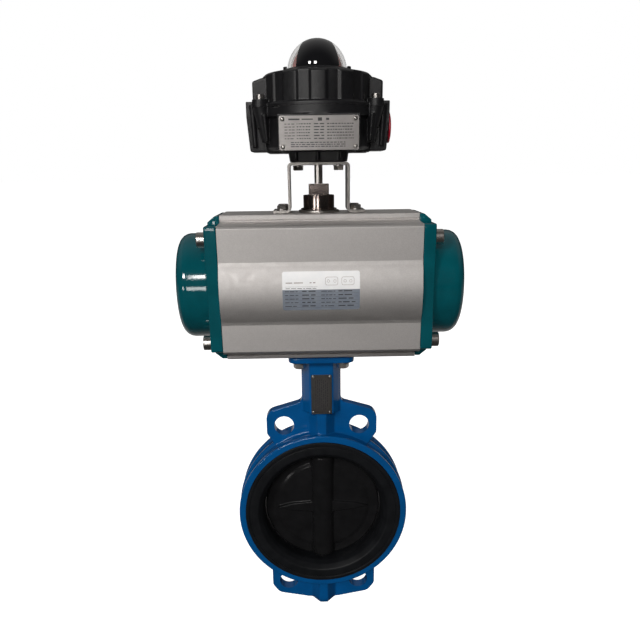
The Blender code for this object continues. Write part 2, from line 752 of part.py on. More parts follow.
def make_pinion():
    journal, neck, top_journal, drive_r = 0.0245, 0.0165, 0.0205, 0.0171
    head_r, groove_r, core_r = 0.0138, 0.0160, CAM_SEAT - 0.001
    chamfer, cam_play, foot = 0.0006, 0.0005, ACT_BOTTOM + 0.0015
    groove_low, groove_high = CIRCLIP_GROOVE
    profile = [
        (0.0, PINION_TOP),
        (head_r - chamfer, PINION_TOP),
        (head_r, PINION_TOP - chamfer),
        (head_r, PINION_SHOULDER),
        (drive_r - chamfer, PINION_SHOULDER),
        (drive_r, PINION_SHOULDER - chamfer),
        (drive_r, groove_high),
        (groove_r, groove_high),
        (groove_r, groove_low),
        (drive_r, groove_low),
        (drive_r, ACT_TOP - GAP),
        (top_journal, ACT_TOP - GAP),
        (top_journal, TOP_JOURNAL_FOOT),
        (neck, TOP_JOURNAL_FOOT),
        (neck, CAM_HIGH + cam_play),
        (core_r, CAM_HIGH + cam_play),
        (core_r, CAM_LOW - cam_play),
        (journal, CAM_LOW - cam_play),
        (journal, foot),
        (0.0, foot),
    ]
    pinion = lathe("pinion", profile, STEEL, steps=24)
    octagon = CAM_SEAT / math.cos(math.pi / 8)
    join(
        pinion,
        prism("pinion_teeth", pinion_teeth(), GEAR_HALF, None, "Z", (0, 0, ACT_MID)),
        rod("cam_seat", octagon, CAM_LOW - 0.001, CAM_HIGH, None, steps=8, turn=math.pi / 8),
    )
    above = PINION_TOP + 0.01
    for i in range(4):
        low, high = (PINION_FLAT, -0.03, PINION_SHOULDER), (0.03, 0.03, above)
        shaving = block(f"top_flat_{i}", low, high, None)
        shaving.location = Matrix.Rotation(i * math.pi / 2, 3, "Z") @ shaving.location
        shaving.rotation_euler = (0, 0, i * math.pi / 2)
        cut(pinion, shaving)
    socket, slot = STEM_SQUARE / 2 + 0.0002, 0.0022
    cut(
        pinion,
        block("stem_socket", (-socket, -socket, 0.19), (socket, socket, STEM_TIP + 0.002), None),
        block("indicator_slot", (-0.03, -slot, PINION_TOP - 0.008), (0.03, slot, above), None),
    )
    return pinion


def make_pinion_fittings():
    tube("pinion_bush_top", 0.0230, 0.0208, ACT_TOP - 0.0135, ACT_TOP - 0.0005, NYLON, steps=24)
    tube("pinion_bush_bottom", 0.0273, 0.0248, ACT_BOTTOM + 0.0010, ACT_BOTTOM + 0.0140, NYLON, steps=24)
    tube("pinion_thrust_washer", 0.0224, 0.0175, ACT_TOP + GAP, ACT_TOP + 0.0027, STAINLESS, steps=24)
    low, high = CIRCLIP_GROOVE
    tube("pinion_circlip", 0.0198, 0.0163, low + 0.0002, high - 0.0002, STEEL, steps=24)


def make_stop_cam():
    """A ring on the pinion's octagon with a quarter lug that meets one stop screw at each end."""
    face = STOP_TIP - GAP
    lug_r, ring_r = 0.0360, 0.0270
    start = math.degrees(math.asin(face / lug_r))
    ring_angle = math.degrees(math.asin(face / ring_r))
    lug = arc((0, 0), lug_r, 180 - start, 270 + start, 10)
    ring = arc((0, 0), ring_r, -90 + ring_angle, 180 - ring_angle, 12)
    middle = (0, 0, (CAM_LOW + CAM_HIGH) / 2)
    cam = prism("stop_cam", lug + ring, (CAM_HIGH - CAM_LOW) / 2, STEEL, "Z", middle)
    hole = (CAM_SEAT + GAP) / math.cos(math.pi / 8)
    return cut(cam, rod("cam_hole", hole, 0.22, 0.26, None, steps=8, turn=math.pi / 8))


def make_stop_screws():
    wall = ACT_DEPTH + GAP
    nut = 0.008
    screw = rod("stop_screw_shape", 0.0048, STOP_TIP, 0.084, None, steps=12)
    join(screw, rod("stop_head", 0.0080 / math.cos(math.pi / 6), 0.0800, 0.0864, None, steps=6))
    nut_shape = rod("stop_nut_shape", 0.0085 / math.cos(math.pi / 6), wall, wall + nut, None, steps=6)
    cut(nut_shape, rod("nut_thread", 0.0052, 0.05, 0.09, None, steps=12))
    screw_mesh, nut_mesh = pattern(screw), pattern(nut_shape)
    for side, word in ((LEFT, "closed"), (RIGHT, "open")):
        place = (side * STOP_X, 0, STOP_Z)
        add_object(f"stop_screw_{word}", screw_mesh, STAINLESS, place, AXIS_TURN["Y"])
        add_object(f"stop_nut_{word}", nut_mesh, STAINLESS, place, AXIS_TURN["Y"])


# ---- switch box --------------------------------------------------------------------------

def make_bracket():
    """A bent plate: two feet on the actuator, two legs and a top under the switch box."""
    thick, bend, foot = BRACKET_PLATE, 0.0045, 0.0500
    low, high, side = ACT_TOP + GAP, BRACKET_TOP, BRACKET_HALF
    inner_bend = bend - thick
    half = [
        (0.0, high, 0),
        (side, high, bend),
        (side, low + thick, inner_bend),
        (foot, low + thick, 0),
        (foot, low, 0),
        (side - thick, low, bend),
        (side - thick, high - thick, inner_bend),
        (0.0, high - thick, 0),
    ]
    outline = [(-x, y) for x, y in rounded(half, 3)]
    outline = rounded(half, 3) + [(x, y) for x, y in reversed(outline) if abs(x) > 1e-9]
    bracket = prism("mounting_bracket", outline, BRACKET_DEPTH, STAINLESS, "Y")
    for side in (LEFT, RIGHT):
        for y in (-1, 1):
            place = (side * NAMUR_X, y * NAMUR_Y, 0)
            cut(bracket, rod(f"foot_hole_{side}_{y}", BRACKET_HOLE_R, 0.35, 0.38, None, "Z", 8, place))
        place = (side * TOP_BOLT_X, 0, 0)
        cut(bracket, rod(f"top_hole_{side}", BRACKET_HOLE_R, 0.40, 0.42, None, "Z", 8, place))
    return cut(bracket, rod("shaft_window", 0.0120, 0.40, 0.42, None, steps=16))


def make_bracket_bolts():
    foot_mesh = hex_bolt("foot_bolt", 0.010, 0.0040, 0.0029, 0.0110, 0.0060, 0.0012)
    top_mesh = hex_bolt("top_bolt", 0.010, 0.0040, 0.0029, 0.0110, 0.0058, 0.0012)
    rests = ACT_TOP + GAP + BRACKET_PLATE + GAP
    for side, word in ((LEFT, "left"), (RIGHT, "right")):
        for y, row in ((-1, "front"), (1, "rear")):
            place = (side * NAMUR_X, y * NAMUR_Y, rests)
            add_object(f"bracket_foot_bolt_{row}_{word}", foot_mesh, STAINLESS, place)
        place = (side * TOP_BOLT_X, 0, BRACKET_TOP - BRACKET_PLATE - GAP)
        add_object(f"bracket_top_bolt_{word}", top_mesh, STAINLESS, place, (math.pi, 0, 0))


def cover_bolt_places():
    x, y = COVER_BOLT
    return [(sx * x, sy * y) for sy in (-1, 1) for sx in (LEFT, RIGHT)]


def make_housing():
    """The lower casting: a pot with a conduit hub on each side, bolt towers and a base boss."""
    flange_low = BOX_SPLIT - 0.0092
    rough_top = BOX_SPLIT + 0.001
    profile = [(0.0, rough_top), (FLANGE_R, rough_top), (FLANGE_R, flange_low), (BOX_R, flange_low - 0.002)]
    profile += [(BOX_R, BOX_FLOOR + 0.002), (BOX_R - 0.002, BOX_FLOOR), (0.0, BOX_FLOOR)]
    housing = lathe("switch_housing", profile, BLACK_PAINT, steps=36)
    boss = plate_outline(0.0303, 0.026, 0.008)
    middle = (BOX_BASE + BOX_FLOOR) / 2
    reach = (BOX_FLOOR - BOX_BASE) / 2
    pad_low = (-PLATE_PAD_X, -PLATE_PAD_Y, BOX_FLOOR + 0.001)
    join(
        housing,
        rod("conduit_hubs", HUB_R_OUTER, -HUB_END, HUB_END, None, "X", 24, (0, 0, HUB_Z)),
        block("hub_web", (-LID_REACH, -0.0215, HUB_Z), (LID_REACH, 0.0215, rough_top), None),
        prism("base_boss", boss, reach + 0.0005, None, "Z", (0, 0, middle + 0.0005)),
        block("plate_pad", pad_low, (PLATE_PAD_X, -0.030, flange_low), None),
    )
    for i, (x, y) in enumerate(cover_bolt_places()):
        join(housing, rod(f"tower_{i}", 0.0090, BOX_FLOOR + 0.003, rough_top, None, "Z", 12, (x, y, 0)))
        cut(housing, rod(f"tower_hole_{i}", 0.0030, 0.448, 0.48, None, "Z", 8, (x, y, 0)))
    lid_space = LID_REACH + 0.0006
    cut(
        housing,
        block("lid_space", (-lid_space, -0.07, BOX_SPLIT), (lid_space, 0.07, 0.50), None),
        rod("cavity", CAVITY_R, BOX_FLOOR + 0.004, 0.48, None, steps=28),
        rod("conduits", CONDUIT_R, -0.1, 0.1, None, "X", 20, (0, 0, HUB_Z)),
        rod("shaft_hole", SHAFT_R + 0.0006, 0.40, 0.45, None, steps=12),
    )
    for side in (LEFT, RIGHT):
        place = (side * TOP_BOLT_X, 0, 0)
        cut(housing, rod(f"base_thread_{side}", 0.0032, 0.41, BOX_FLOOR + 0.0005, None, "Z", 8, place))
    low, high = (-0.012, 0.0355, BOX_FLOOR + 0.003), (0.012, 0.050, BOX_SPLIT - 0.001)
    return join(housing, block("switch_stand", low, high, None))


def make_cover():
    """The lid: a fluted wall with a bolt ear at each corner, a sloping crown and a dome seat."""
    foot = BOX_SPLIT + GAP
    collar_r, shelf = 0.0340, INDICATOR_Z - 0.0008
    profile = [
        (0.0, COVER_CROWN),
        (collar_r, COVER_CROWN),
        (COVER_R - 0.004, COVER_EDGE + 0.0008),
        (COVER_R, COVER_EDGE - 0.003),
        (COVER_R, foot + 0.0040),
        (FLANGE_R, foot + 0.0036),
        (FLANGE_R, foot),
        (0.0, foot),
    ]
    cover = lathe("switch_cover", profile, BLACK_PAINT, steps=36)
    ring_low, ring_high = COVER_CROWN - 0.002, COVER_CROWN + 0.0026
    crown_ring = tube("crown_ring", collar_r - 0.0005, 0.020, ring_low, ring_high, None)
    lobe_low, lobe_high = (-LID_REACH, -0.0190, foot), (LID_REACH, 0.0190, COVER_LOBE_TOP)
    side_lobe = block("side_lobes", lobe_low, lobe_high, None)
    join(cover, side_lobe, crown_ring)
    for i, (x, y) in enumerate(cover_bolt_places()):
        ear = rod(f"ear_{i}", 0.0083, foot, COVER_EAR_TOP, None, "Z", 12, (x, y, 0))
        pocket = rod(f"pocket_{i}", 0.0062, COVER_EAR_TOP, 0.52, None, "Z", 12, (x, y, 0))
        join(cover, ear)
        cut(cover, pocket, rod(f"ear_hole_{i}", 0.0030, 0.46, 0.49, None, "Z", 8, (x, y, 0)))
    inside = [(0.0, 0.4990), (0.0300, 0.4990), (CAVITY_R, 0.4935), (CAVITY_R, 0.46), (0.0, 0.46)]
    cut(
        cover,
        lathe("cover_cavity", inside, None, steps=28),
        rod("indicator_hole", 0.0276, 0.49, 0.53, None, steps=28),
        rod("dome_seat", INDICATOR_R + 0.0006, shelf, 0.53, None, steps=32),
    )
    return cover


def make_cover_bolts():
    mesh = socket_screw("cover_bolt_shape", 0.0043, 0.0060, 0.0025, 0.024, 0.0025)
    names = ("front_left", "front_right", "rear_left", "rear_right")
    for name, (x, y) in zip(names, cover_bolt_places()):
        add_object(f"cover_bolt_{name}", mesh, STAINLESS, (x, y, COVER_EAR_TOP + GAP))


def make_switch_works():
    """The shaft with its two cams, and the two switches that the cams trip."""
    tongue = PINION_TOP - 0.007
    shaft = rod("switch_shaft", SHAFT_R, PINION_TOP + 0.0005, 0.5100, STAINLESS, steps=12)
    join(shaft, block("shaft_tongue", (-0.0040, -0.0019, tongue), (0.0040, 0.0019, PINION_TOP + 0.002), None))
    for word, (low, high), angle in zip(("closed", "open"), CAM_LEVELS, (90, 0)):
        outline = arc((0, 0), 0.0130, angle + 20, angle + 340, 14)
        outline += arc((0, 0), CAM_LOBE_R, angle - 6, angle + 6, 2)
        cam = prism(f"cam_{word}", outline, (high - low) / 2, RED_PLASTIC, "Z", (0, 0, (low + high) / 2))
        cut(cam, rod(f"cam_bore_{word}", SHAFT_R + GAP, 0.44, 0.48, None, steps=12))
    for word, (low, high) in zip(("closed", "open"), SWITCH_LEVELS):
        body = block(f"limit_switch_{word}", (-0.0135, 0.0205, low), (0.0135, 0.0352, high), SWITCH_PLASTIC)
        reach = CAM_LOBE_R + GAP
        join(body, rod(f"button_{word}", 0.0026, reach, 0.0215, None, "Y", 10, (0, 0, (low + high) / 2)))


def make_indicator():
    """The clear dome and the two-colour rotor that turns under it."""
    base = INDICATOR_Z - 0.0005
    outer = [(x, INDICATOR_Z + y) for x, y in arc((0, 0), INDICATOR_R, 90, 0, 7)]
    inner_r = INDICATOR_R - DOME_WALL
    inner = [(x, INDICATOR_Z + y) for x, y in arc((0, 0), inner_r, 0, 90, 6)]
    outer[0], inner[-1] = (0.0, INDICATOR_Z + INDICATOR_R), (0.0, INDICATOR_Z + inner_r)
    lathe("indicator_dome", outer + [(INDICATOR_R, base), (inner_r, base)] + inner, CLEAR)
    rotor_r = 0.0262
    shell = [(x, INDICATOR_Z + y) for x, y in arc((0, 0), rotor_r, 90, 0, 5)]
    shell[0] = (0.0, INDICATOR_Z + rotor_r)
    floor = INDICATOR_Z - 0.0010
    inside_r, ceiling = rotor_r - 0.002, floor + 0.004
    hollow = [(rotor_r, floor), (inside_r, floor), (inside_r, ceiling), (0.0, ceiling)]
    rotor = lathe("indicator_rotor", shell + hollow, RED_PLASTIC, steps=24)
    cut(rotor, rod("rotor_bore", SHAFT_R + GAP, 0.49, 0.5110, None, steps=12))


def make_plug():
    outer = HUB_END + GAP
    plug = rod("conduit_plug", 0.0156, outer, outer + 0.0025, RED_PLASTIC, "X", 20, (0, 0, HUB_Z))
    join(plug, rod("plug_thread", CONDUIT_R - 0.0009, 0.058, outer + 0.001, None, "X", 16, (0, 0, HUB_Z)))


def make_switch_nameplate():
    half_width, half_height, thick = 0.0395, 0.0160, 0.0008
    front = -PLATE_PAD_Y - GAP - thick / 2
    outline = plate_outline(half_width, half_height, 0.0015)
    prism("switch_nameplate", outline, thick / 2, STAINLESS, "Y", (0, front, 0.4425))


def main():
    make_valve_body()
    make_seat()
    make_disc()
    make_stem()
    make_stem_fittings()
    make_flange_bolts()
    make_valve_nameplate()
    make_actuator_body()
    make_cap_screws()
    make_end_caps()
    make_pistons()
    make_pinion()
    make_pinion_fittings()
    make_stop_cam()
    make_stop_screws()
    make_bracket()
    make_bracket_bolts()
    make_housing()
    make_cover()
    make_cover_bolts()
    make_switch_works()
    make_indicator()
    make_plug()
    make_switch_nameplate()


main()
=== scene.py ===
"""Looks for the actuated butterfly valve: fine meshes, materials, light and camera around the frame.

Shapes are in millimetres, in the frame's own axes: +Z up the stem, Y along the pipe, X along the
actuator. Heights are counted from the centre of the bore, and settle() lifts each piece by BORE.
Meshes, materials and the studio are in metres.
"""

import math
import random

import bmesh
import bpy
from mathutils import Matrix, Vector


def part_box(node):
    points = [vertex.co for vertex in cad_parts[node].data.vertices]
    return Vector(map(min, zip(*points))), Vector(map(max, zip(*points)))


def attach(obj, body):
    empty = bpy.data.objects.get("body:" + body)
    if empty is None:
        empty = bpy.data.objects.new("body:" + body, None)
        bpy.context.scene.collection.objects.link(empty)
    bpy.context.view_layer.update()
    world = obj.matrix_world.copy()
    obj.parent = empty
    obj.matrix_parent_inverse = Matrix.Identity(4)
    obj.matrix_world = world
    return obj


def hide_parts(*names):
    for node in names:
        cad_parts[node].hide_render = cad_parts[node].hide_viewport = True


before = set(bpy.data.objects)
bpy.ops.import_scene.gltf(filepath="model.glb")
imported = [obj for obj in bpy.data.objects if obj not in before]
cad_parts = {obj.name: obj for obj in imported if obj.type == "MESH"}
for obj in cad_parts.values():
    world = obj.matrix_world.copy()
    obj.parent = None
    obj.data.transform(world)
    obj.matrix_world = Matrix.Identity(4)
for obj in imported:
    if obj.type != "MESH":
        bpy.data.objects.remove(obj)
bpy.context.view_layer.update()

LEFT, RIGHT = -1, 1
MM = 0.001
CORNERS = ((-1, -1), (-1, 1), (1, -1), (1, 1))
CORNER_NAMES = ("front_left", "front_right", "rear_left", "rear_right")

# ---- places read from the frame ----------------------------------------------------------

BORE = sum(corner.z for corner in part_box("valve_disc")) / 2 / MM


def low(node, axis):
    """The node's lowest coordinate on an axis, with heights counted from the bore's centre."""
    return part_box(node)[0][axis] / MM - (BORE if axis == 2 else 0.0)


def high(node, axis):
    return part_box(node)[1][axis] / MM - (BORE if axis == 2 else 0.0)


def middle(node, axis):
    return (low(node, axis) + high(node, axis)) / 2


def midpoint(node):
    return Vector([middle(node, axis) for axis in range(3)])


SEAT_FACE = high("seat_liner", 1)
LIP_R = high("seat_liner", 0)
DISC_R = high("valve_disc", 0)
FLANGE_TOP = high("valve_body", 2)
FOOT = low("valve_body", 2)
LUG_X = 67.5
RIM_R = 104.3
BORE_R = 80.3
BODY_HALF = SEAT_FACE - 1.6

ACT_LOW, ACT_TOP = low("actuator_body", 2), high("actuator_body", 2)
ACT_MID = (ACT_LOW + ACT_TOP) / 2
ACT_RISE = (ACT_TOP - ACT_LOW) / 2
ACT_HALF = high("actuator_body", 0)
BULGE_R = -low("actuator_body", 1)
LABEL_SPLIT = ACT_MID + 5.5
CAP_DEPTH = high("end_cap_right", 1)
CAP_START, CAP_END = low("end_cap_right", 0), high("end_cap_right", 0)
CAP_SEAT = CAP_START + 13.3  # under the cap screws' heads
PINION_TOP = high("pinion", 2)

BRACKET_LOW, BRACKET_TOP = low("mounting_bracket", 2), high("mounting_bracket", 2)
BRACKET_DEPTH = high("mounting_bracket", 1)
BRACKET_FOOT = high("mounting_bracket", 0)
BOX_BASE = low("switch_housing", 2)
BOX_SPLIT = low("switch_cover", 2)
HUB_END = high("switch_housing", 0)
PAD_FACE = low("switch_housing", 1)
LID_REACH = high("switch_cover", 0)
COLLAR_TOP = high("switch_cover", 2)
DOME_R = high("indicator_dome", 0)
DOME_BASE, DOME_TOP = low("indicator_dome", 2), high("indicator_dome", 2)


# ---- mesh helpers ------------------------------------------------------------------------

def new_object(name, mesh):
    obj = bpy.data.objects.new(name, mesh)
    bpy.context.scene.collection.objects.link(obj)
    return obj


def from_bmesh(name, made, finish=None):
    """An object from a shape in millimetres."""
    bmesh.ops.recalc_face_normals(made, faces=made.faces)
    bmesh.ops.scale(made, vec=(MM, MM, MM), verts=made.verts)
    mesh = bpy.data.meshes.new(name)
    made.to_mesh(mesh)
    made.free()
    if finish:
        mesh.materials.append(finish)
    return new_object(name, mesh)


def arc(centre, radius, start, end, steps):
    """Points along an arc, angles in degrees."""
    points = []
    for i in range(steps + 1):
        angle = math.radians(start + (end - start) * i / steps)
        points.append((centre[0] + radius * math.cos(angle), centre[1] + radius * math.sin(angle)))
    return points


def rounded(corners, steps=6, closed=True):
    """An outline of (x, y) or (x, y, radius) corners, with an arc at each corner that has a radius."""
    points = []
    count = len(corners)
    for i, corner in enumerate(corners):
        x, y = corner[:2]
        radius = corner[2] if len(corner) > 2 else 0
        at_end = not closed and i in (0, count - 1)
        if radius <= 0 or at_end:
            points.append((x, y))
            continue
        here = Vector((x, y))
        before = (Vector(corners[i - 1][:2]) - here).normalized()
        after = (Vector(corners[(i + 1) % count][:2]) - here).normalized()
        half = before.angle(after) / 2
        reach = radius / math.tan(half)
        centre = here + (before + after).normalized() * (radius / math.sin(half))
        first = here + before * reach - centre
        sweep = first.angle_signed(here + after * reach - centre)
        for step in range(steps + 1):
            turned = first.copy()
            turned.rotate(Matrix.Rotation(-sweep * step / steps, 2))
            points.append(tuple(centre + turned))
    return points


def mirrored(half, axis=0):
    """A closed outline from the half of it on one side of a middle line. Points on the line stay single."""
    other = [list(point) for point in reversed(half) if abs(point[axis]) > 1e-6]
    for point in other:
        point[axis] = -point[axis]
    return half + other


def plate(half_width, half_height, corner, steps=6, centre=(0, 0)):
    corners = ((1, -1), (1, 1), (-1, 1), (-1, -1))
    return rounded([(centre[0] + x * half_width, centre[1] + y * half_height, corner) for x, y in corners],
        steps)


AXIS_FRAME = {
    "X": Matrix(((0, 0, 1), (1, 0, 0), (0, 1, 0))),  # (a, b, along) to (along, a, b)
    "Y": Matrix(((1, 0, 0), (0, 0, 1), (0, 1, 0))),  # to (a, along, b)
    "Z": Matrix.Identity(3),
}


def lathe(name, profile, finish=None, axis="Z", steps=96, ring=False, at=(0, 0, 0)):
    """Turns (radius, height[, corner radius]) points about an axis."""
    turned = rounded(profile, 5, closed=ring)
    made = bmesh.new()
    verts = [made.verts.new((radius, 0.0, height)) for radius, height in turned]
    pairs = list(zip(verts, verts[1:] + verts[:1])) if ring else list(zip(verts, verts[1:]))
    edges = [made.edges.new(pair) for pair in pairs]
    bmesh.ops.spin(made, geom=verts + edges, cent=(0, 0, 0), axis=(0, 0, 1), angle=2 * math.pi, steps=steps,
        use_merge=True)
    bmesh.ops.remove_doubles(made, verts=made.verts, dist=0.001)
    bmesh.ops.transform(made, matrix=AXIS_FRAME[axis].to_4x4(), verts=made.verts)
    bmesh.ops.translate(made, vec=at, verts=made.verts)
    return from_bmesh(name, made, finish)


def prism(name, outline, start, end, finish=None, axis="Z", at=(0, 0, 0)):
    """A flat outline carried from one place on its axis to another."""
    made = bmesh.new()
    face = made.faces.new([made.verts.new((x, y, start)) for x, y in outline])
    grown = bmesh.ops.extrude_face_region(made, geom=[face])["geom"]
    moved = [item for item in grown if isinstance(item, bmesh.types.BMVert)]
    bmesh.ops.translate(made, vec=(0, 0, end - start), verts=moved)
    bmesh.ops.transform(made, matrix=AXIS_FRAME[axis].to_4x4(), verts=made.verts)
    bmesh.ops.translate(made, vec=at, verts=made.verts)
    return from_bmesh(name, made, finish)


def rod(name, radius, start, end, axis="Z", at=(0, 0, 0), steps=48, finish=None):
    return prism(name, arc((0, 0), radius, 0, 360 - 360 / steps, steps - 1), start, end, finish, axis, at)


def rods(name, radius, start, end, places, steps, axis="Z"):
    return [rod(f"{name}_{i}", radius, start, end, axis, place, steps) for i, place in enumerate(places)]


def block(name, lowest, highest, finish=None):
    (x0, y0, z0), (x1, y1, z1) = lowest, highest
    return prism(name, [(x0, y0), (x1, y0), (x1, y1), (x0, y1)], z0, z1, finish)


def tapered(obj, test, factor_x=1.0, factor_y=1.0, about=(0, 0)):
    """Draws in the vertices that pass the test, towards a vertical line."""
    x, y = about[0] * MM, about[1] * MM
    for vertex in obj.data.vertices:
        if test(vertex.co / MM):
            vertex.co.x = x + (vertex.co.x - x) * factor_x
            vertex.co.y = y + (vertex.co.y - y) * factor_y
    return obj


def apply_all(obj):
    """Makes the modifiers real and drops the Boolean tools."""
    bpy.context.view_layer.update()
    graph = bpy.context.evaluated_depsgraph_get()
    mesh = bpy.data.meshes.new_from_object(obj.evaluated_get(graph))
    tools = [change.object for change in obj.modifiers if change.type == "BOOLEAN"]
    obj.modifiers.clear()
    obj.data = mesh
    for tool in tools:
        bpy.data.objects.remove(tool, do_unlink=True)
    return obj


def combine(obj, tools, operation):
    for tool in tools:
        change = obj.modifiers.new(tool.name, "BOOLEAN")
        change.operation = operation
        change.object = tool
        change.solver = "EXACT"
        apply_all(obj)
    return obj


def join(obj, *tools):
    return combine(obj, tools, "UNION")


def cut(obj, *tools):
    return combine(obj, tools, "DIFFERENCE")


def heap(obj, *parts):
    """Puts closed shapes in one mesh, where they may overlap. as_cast makes them one skin."""
    made = bmesh.new()
    made.from_mesh(obj.data)
    for part in parts:
        made.from_mesh(part.data)
        bpy.data.objects.remove(part, do_unlink=True)
    made.to_mesh(obj.data)
    made.free()
    return obj


def soften(obj, width, segments=3, degrees=30):
    """Rounds every edge sharper than an angle."""
    change = obj.modifiers.new("bevel", "BEVEL")
    change.width = width * MM
    change.segments = segments
    change.limit_method = "ANGLE"
    change.angle_limit = math.radians(degrees)
    change.use_clamp_overlap = True
    change.miter_outer = "MITER_ARC"
    return apply_all(obj)


def as_cast(obj, voxel, rounds, keep=0.5):
    """Gives a joined-up shape the blended corners of a casting."""
    remesh = obj.modifiers.new("remesh", "REMESH")
    remesh.mode = "VOXEL"
    remesh.voxel_size = voxel * MM
    relax = obj.modifiers.new("relax", "SMOOTH")
    relax.factor = 0.5
    relax.iterations = rounds
    thin = obj.modifiers.new("thin", "DECIMATE")
    thin.ratio = keep
    materials = list(obj.data.materials)
    apply_all(obj)
    obj.data.materials.clear()
    for finish in materials:
        obj.data.materials.append(finish)
    return obj


def shade(obj, degrees=35, weighted=False):
    obj.data.shade_smooth()
    obj.data.set_sharp_from_angle(angle=math.radians(degrees))
    if weighted:
        change = obj.modifiers.new("normals", "WEIGHTED_NORMAL")
        change.keep_sharp = True
        change.weight = 80
        apply_all(obj)
    return obj


def settle(obj, body, *nodes, finish=None, slot=None):
    """Lifts a finished piece into the frame, hangs it on the body that carries it and hides the CAD nodes
    that it stands for.
    """
    if finish:
        obj.data.materials.clear()
        obj.data.materials.append(finish)
    obj.location = (obj.location + Vector((0, 0, BORE))) * MM
    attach(obj, body)
    if nodes:
        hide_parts(*nodes)
    return obj


def copies(shape, finish, body, slot, places):
    """One piece for each (node, location, turn), all sharing the shape's mesh."""
    shape.data.materials.clear()
    shape.data.materials.append(finish)
    for node, location, turn in places:
        piece = new_object("fine_" + node, shape.data)
        piece.location = location
        piece.rotation_euler = turn
        settle(piece, body, node, slot=slot)
    bpy.data.objects.remove(shape, do_unlink=True)


# ---- material helpers --------------------------------------------------------------------

class Finish:
    """A Principled material with small procedural networks in the object's own space, in metres."""

    def __init__(self, name, **values):
        self.material = bpy.data.materials.new(name)
        self.material.use_nodes = True
        self.tree = self.material.node_tree
        self.shader = self.tree.nodes["Principled BSDF"]
        self.place = self.node("ShaderNodeTexCoord").outputs["Object"]
        for key, value in values.items():
            self.feed(key.replace("_", " ").title(), value)

    def node(self, kind, **settings):
        made = self.tree.nodes.new(kind)
        for key, value in settings.items():
            setattr(made, key, value)
        return made

    def link(self, value, socket):
        if isinstance(value, bpy.types.NodeSocket):
            self.tree.links.new(value, socket)
        elif isinstance(value, tuple) and socket.type == "RGBA":
            socket.default_value = (*value, 1.0)
        else:
            socket.default_value = value

    def feed(self, name, value):
        self.link(value, self.shader.inputs[name])

    def noise(self, size, detail=2.0, roughness=0.5, stretch=(1, 1, 1)):
        """Noise whose features are about `size` metres across."""
        mapping = self.node("ShaderNodeMapping")
        mapping.inputs["Scale"].default_value = [1 / (size * s) for s in stretch]
        self.tree.links.new(self.place, mapping.inputs["Vector"])
        made = self.node("ShaderNodeTexNoise")
        made.inputs["Scale"].default_value = 1.0
        made.inputs["Detail"].default_value = detail
        made.inputs["Roughness"].default_value = roughness
        self.tree.links.new(mapping.outputs[0], made.inputs["Vector"])
        return made.outputs[0]

    def ramp(self, value, *stops):
        """Colours or greys along a value, given as (position, colour) stops."""
        made = self.node("ShaderNodeValToRGB")
        elements = made.color_ramp.elements
        while len(elements) < len(stops):
            elements.new(0.5)
        for element, (position, colour) in zip(elements, stops):
            element.position = position
            element.color = (*colour, 1.0) if isinstance(colour, tuple) else (colour, colour, colour, 1.0)
        self.tree.links.new(value, made.inputs[0])
        return made.outputs[0]

    def between(self, value, start, end, first=0.0, last=1.0, smooth=False):
        made = self.node("ShaderNodeMapRange", interpolation_type="SMOOTHSTEP" if smooth else "LINEAR")
        self.link(value, made.inputs["Value"])
        for name, number in (("From Min", start), ("From Max", end), ("To Min", first), ("To Max", last)):
            made.inputs[name].default_value = number
        return made.outputs[0]

    def maths(self, operation, first, second=0.0):
        made = self.node("ShaderNodeMath", operation=operation)
        self.link(first, made.inputs[0])
        self.link(second, made.inputs[1])
        return made.outputs[0]

    def mix(self, share, first, second, blend="MIX"):
        made = self.node("ShaderNodeMix", data_type="RGBA", blend_type=blend)
        colours = [socket for socket in made.inputs if socket.type == "RGBA"]
        self.link(share, made.inputs[0])
        self.link(first, colours[0])
        self.link(second, colours[1])
        return [socket for socket in made.outputs if socket.type == "RGBA"][0]

    def clouds(self, size, detail, colour, dark, light, start=0.3, end=0.7):
        """Soft patches between a darker and a lighter shade of a colour."""
        shades = (start, scaled(colour, dark)), (end, scaled(colour, light))
        return self.ramp(self.noise(size * MM, detail), *shades)

    def uneven(self, size, detail, least, most):
        """A roughness that wanders between two values."""
        self.feed("Roughness", self.between(self.noise(size * MM, detail), 0.3, 0.7, least, most))

    def axis(self, name):
        made = self.node("ShaderNodeSeparateXYZ")
        self.tree.links.new(self.place, made.inputs[0])
        return made.outputs[name]

    def bump(self, *layers):
        """Stacks (height, depth in metres) layers into the surface's normal."""
        normal = None
        for height, depth in layers:
            made = self.node("ShaderNodeBump")
            made.inputs["Strength"].default_value = 1.0
            made.inputs["Distance"].default_value = depth
            self.tree.links.new(height, made.inputs["Height"])
            if normal:
                self.tree.links.new(normal, made.inputs["Normal"])
            normal = made.outputs[0]
        self.tree.links.new(normal, self.shader.inputs["Normal"])

    def edges(self):
        """1 on worn outer edges, 0 elsewhere, from how pointed the mesh is."""
        pointed = self.node("ShaderNodeNewGeometry").outputs["Pointiness"]
        return self.between(pointed, 0.53, 0.62, smooth=True)


def scaled(colour, factor):
    return tuple(channel * factor for channel in colour)


# ---- materials ---------------------------------------------------------------------------

def paint(name, colour, roughness, peel=0.012, cast=0.05, wear=None):
    """Sprayed paint on a casting: orange peel over the casting's own grain, uneven in tone."""
    made = Finish(name)
    tone = made.clouds(28, 3.0, colour, 0.90, 1.08, 0.35, 0.65)
    speck = made.ramp(made.noise(1.2 * MM, 2.0), (0.30, 0.93), (0.70, 1.0))
    base = made.mix(1.0, tone, speck, "MULTIPLY")
    if wear:
        chips = made.between(made.noise(3 * MM, 4.0, 0.7), 0.58, 0.70)
        base = made.mix(made.maths("MULTIPLY", made.edges(), chips), base, wear)
    made.feed("Base Color", base)
    made.uneven(9, 3.0, roughness * 0.85, roughness * 1.2)
    made.bump((made.noise(7 * MM, 2.0), cast * MM), (made.noise(1.6 * MM, 1.0), peel * MM))
    return made.material


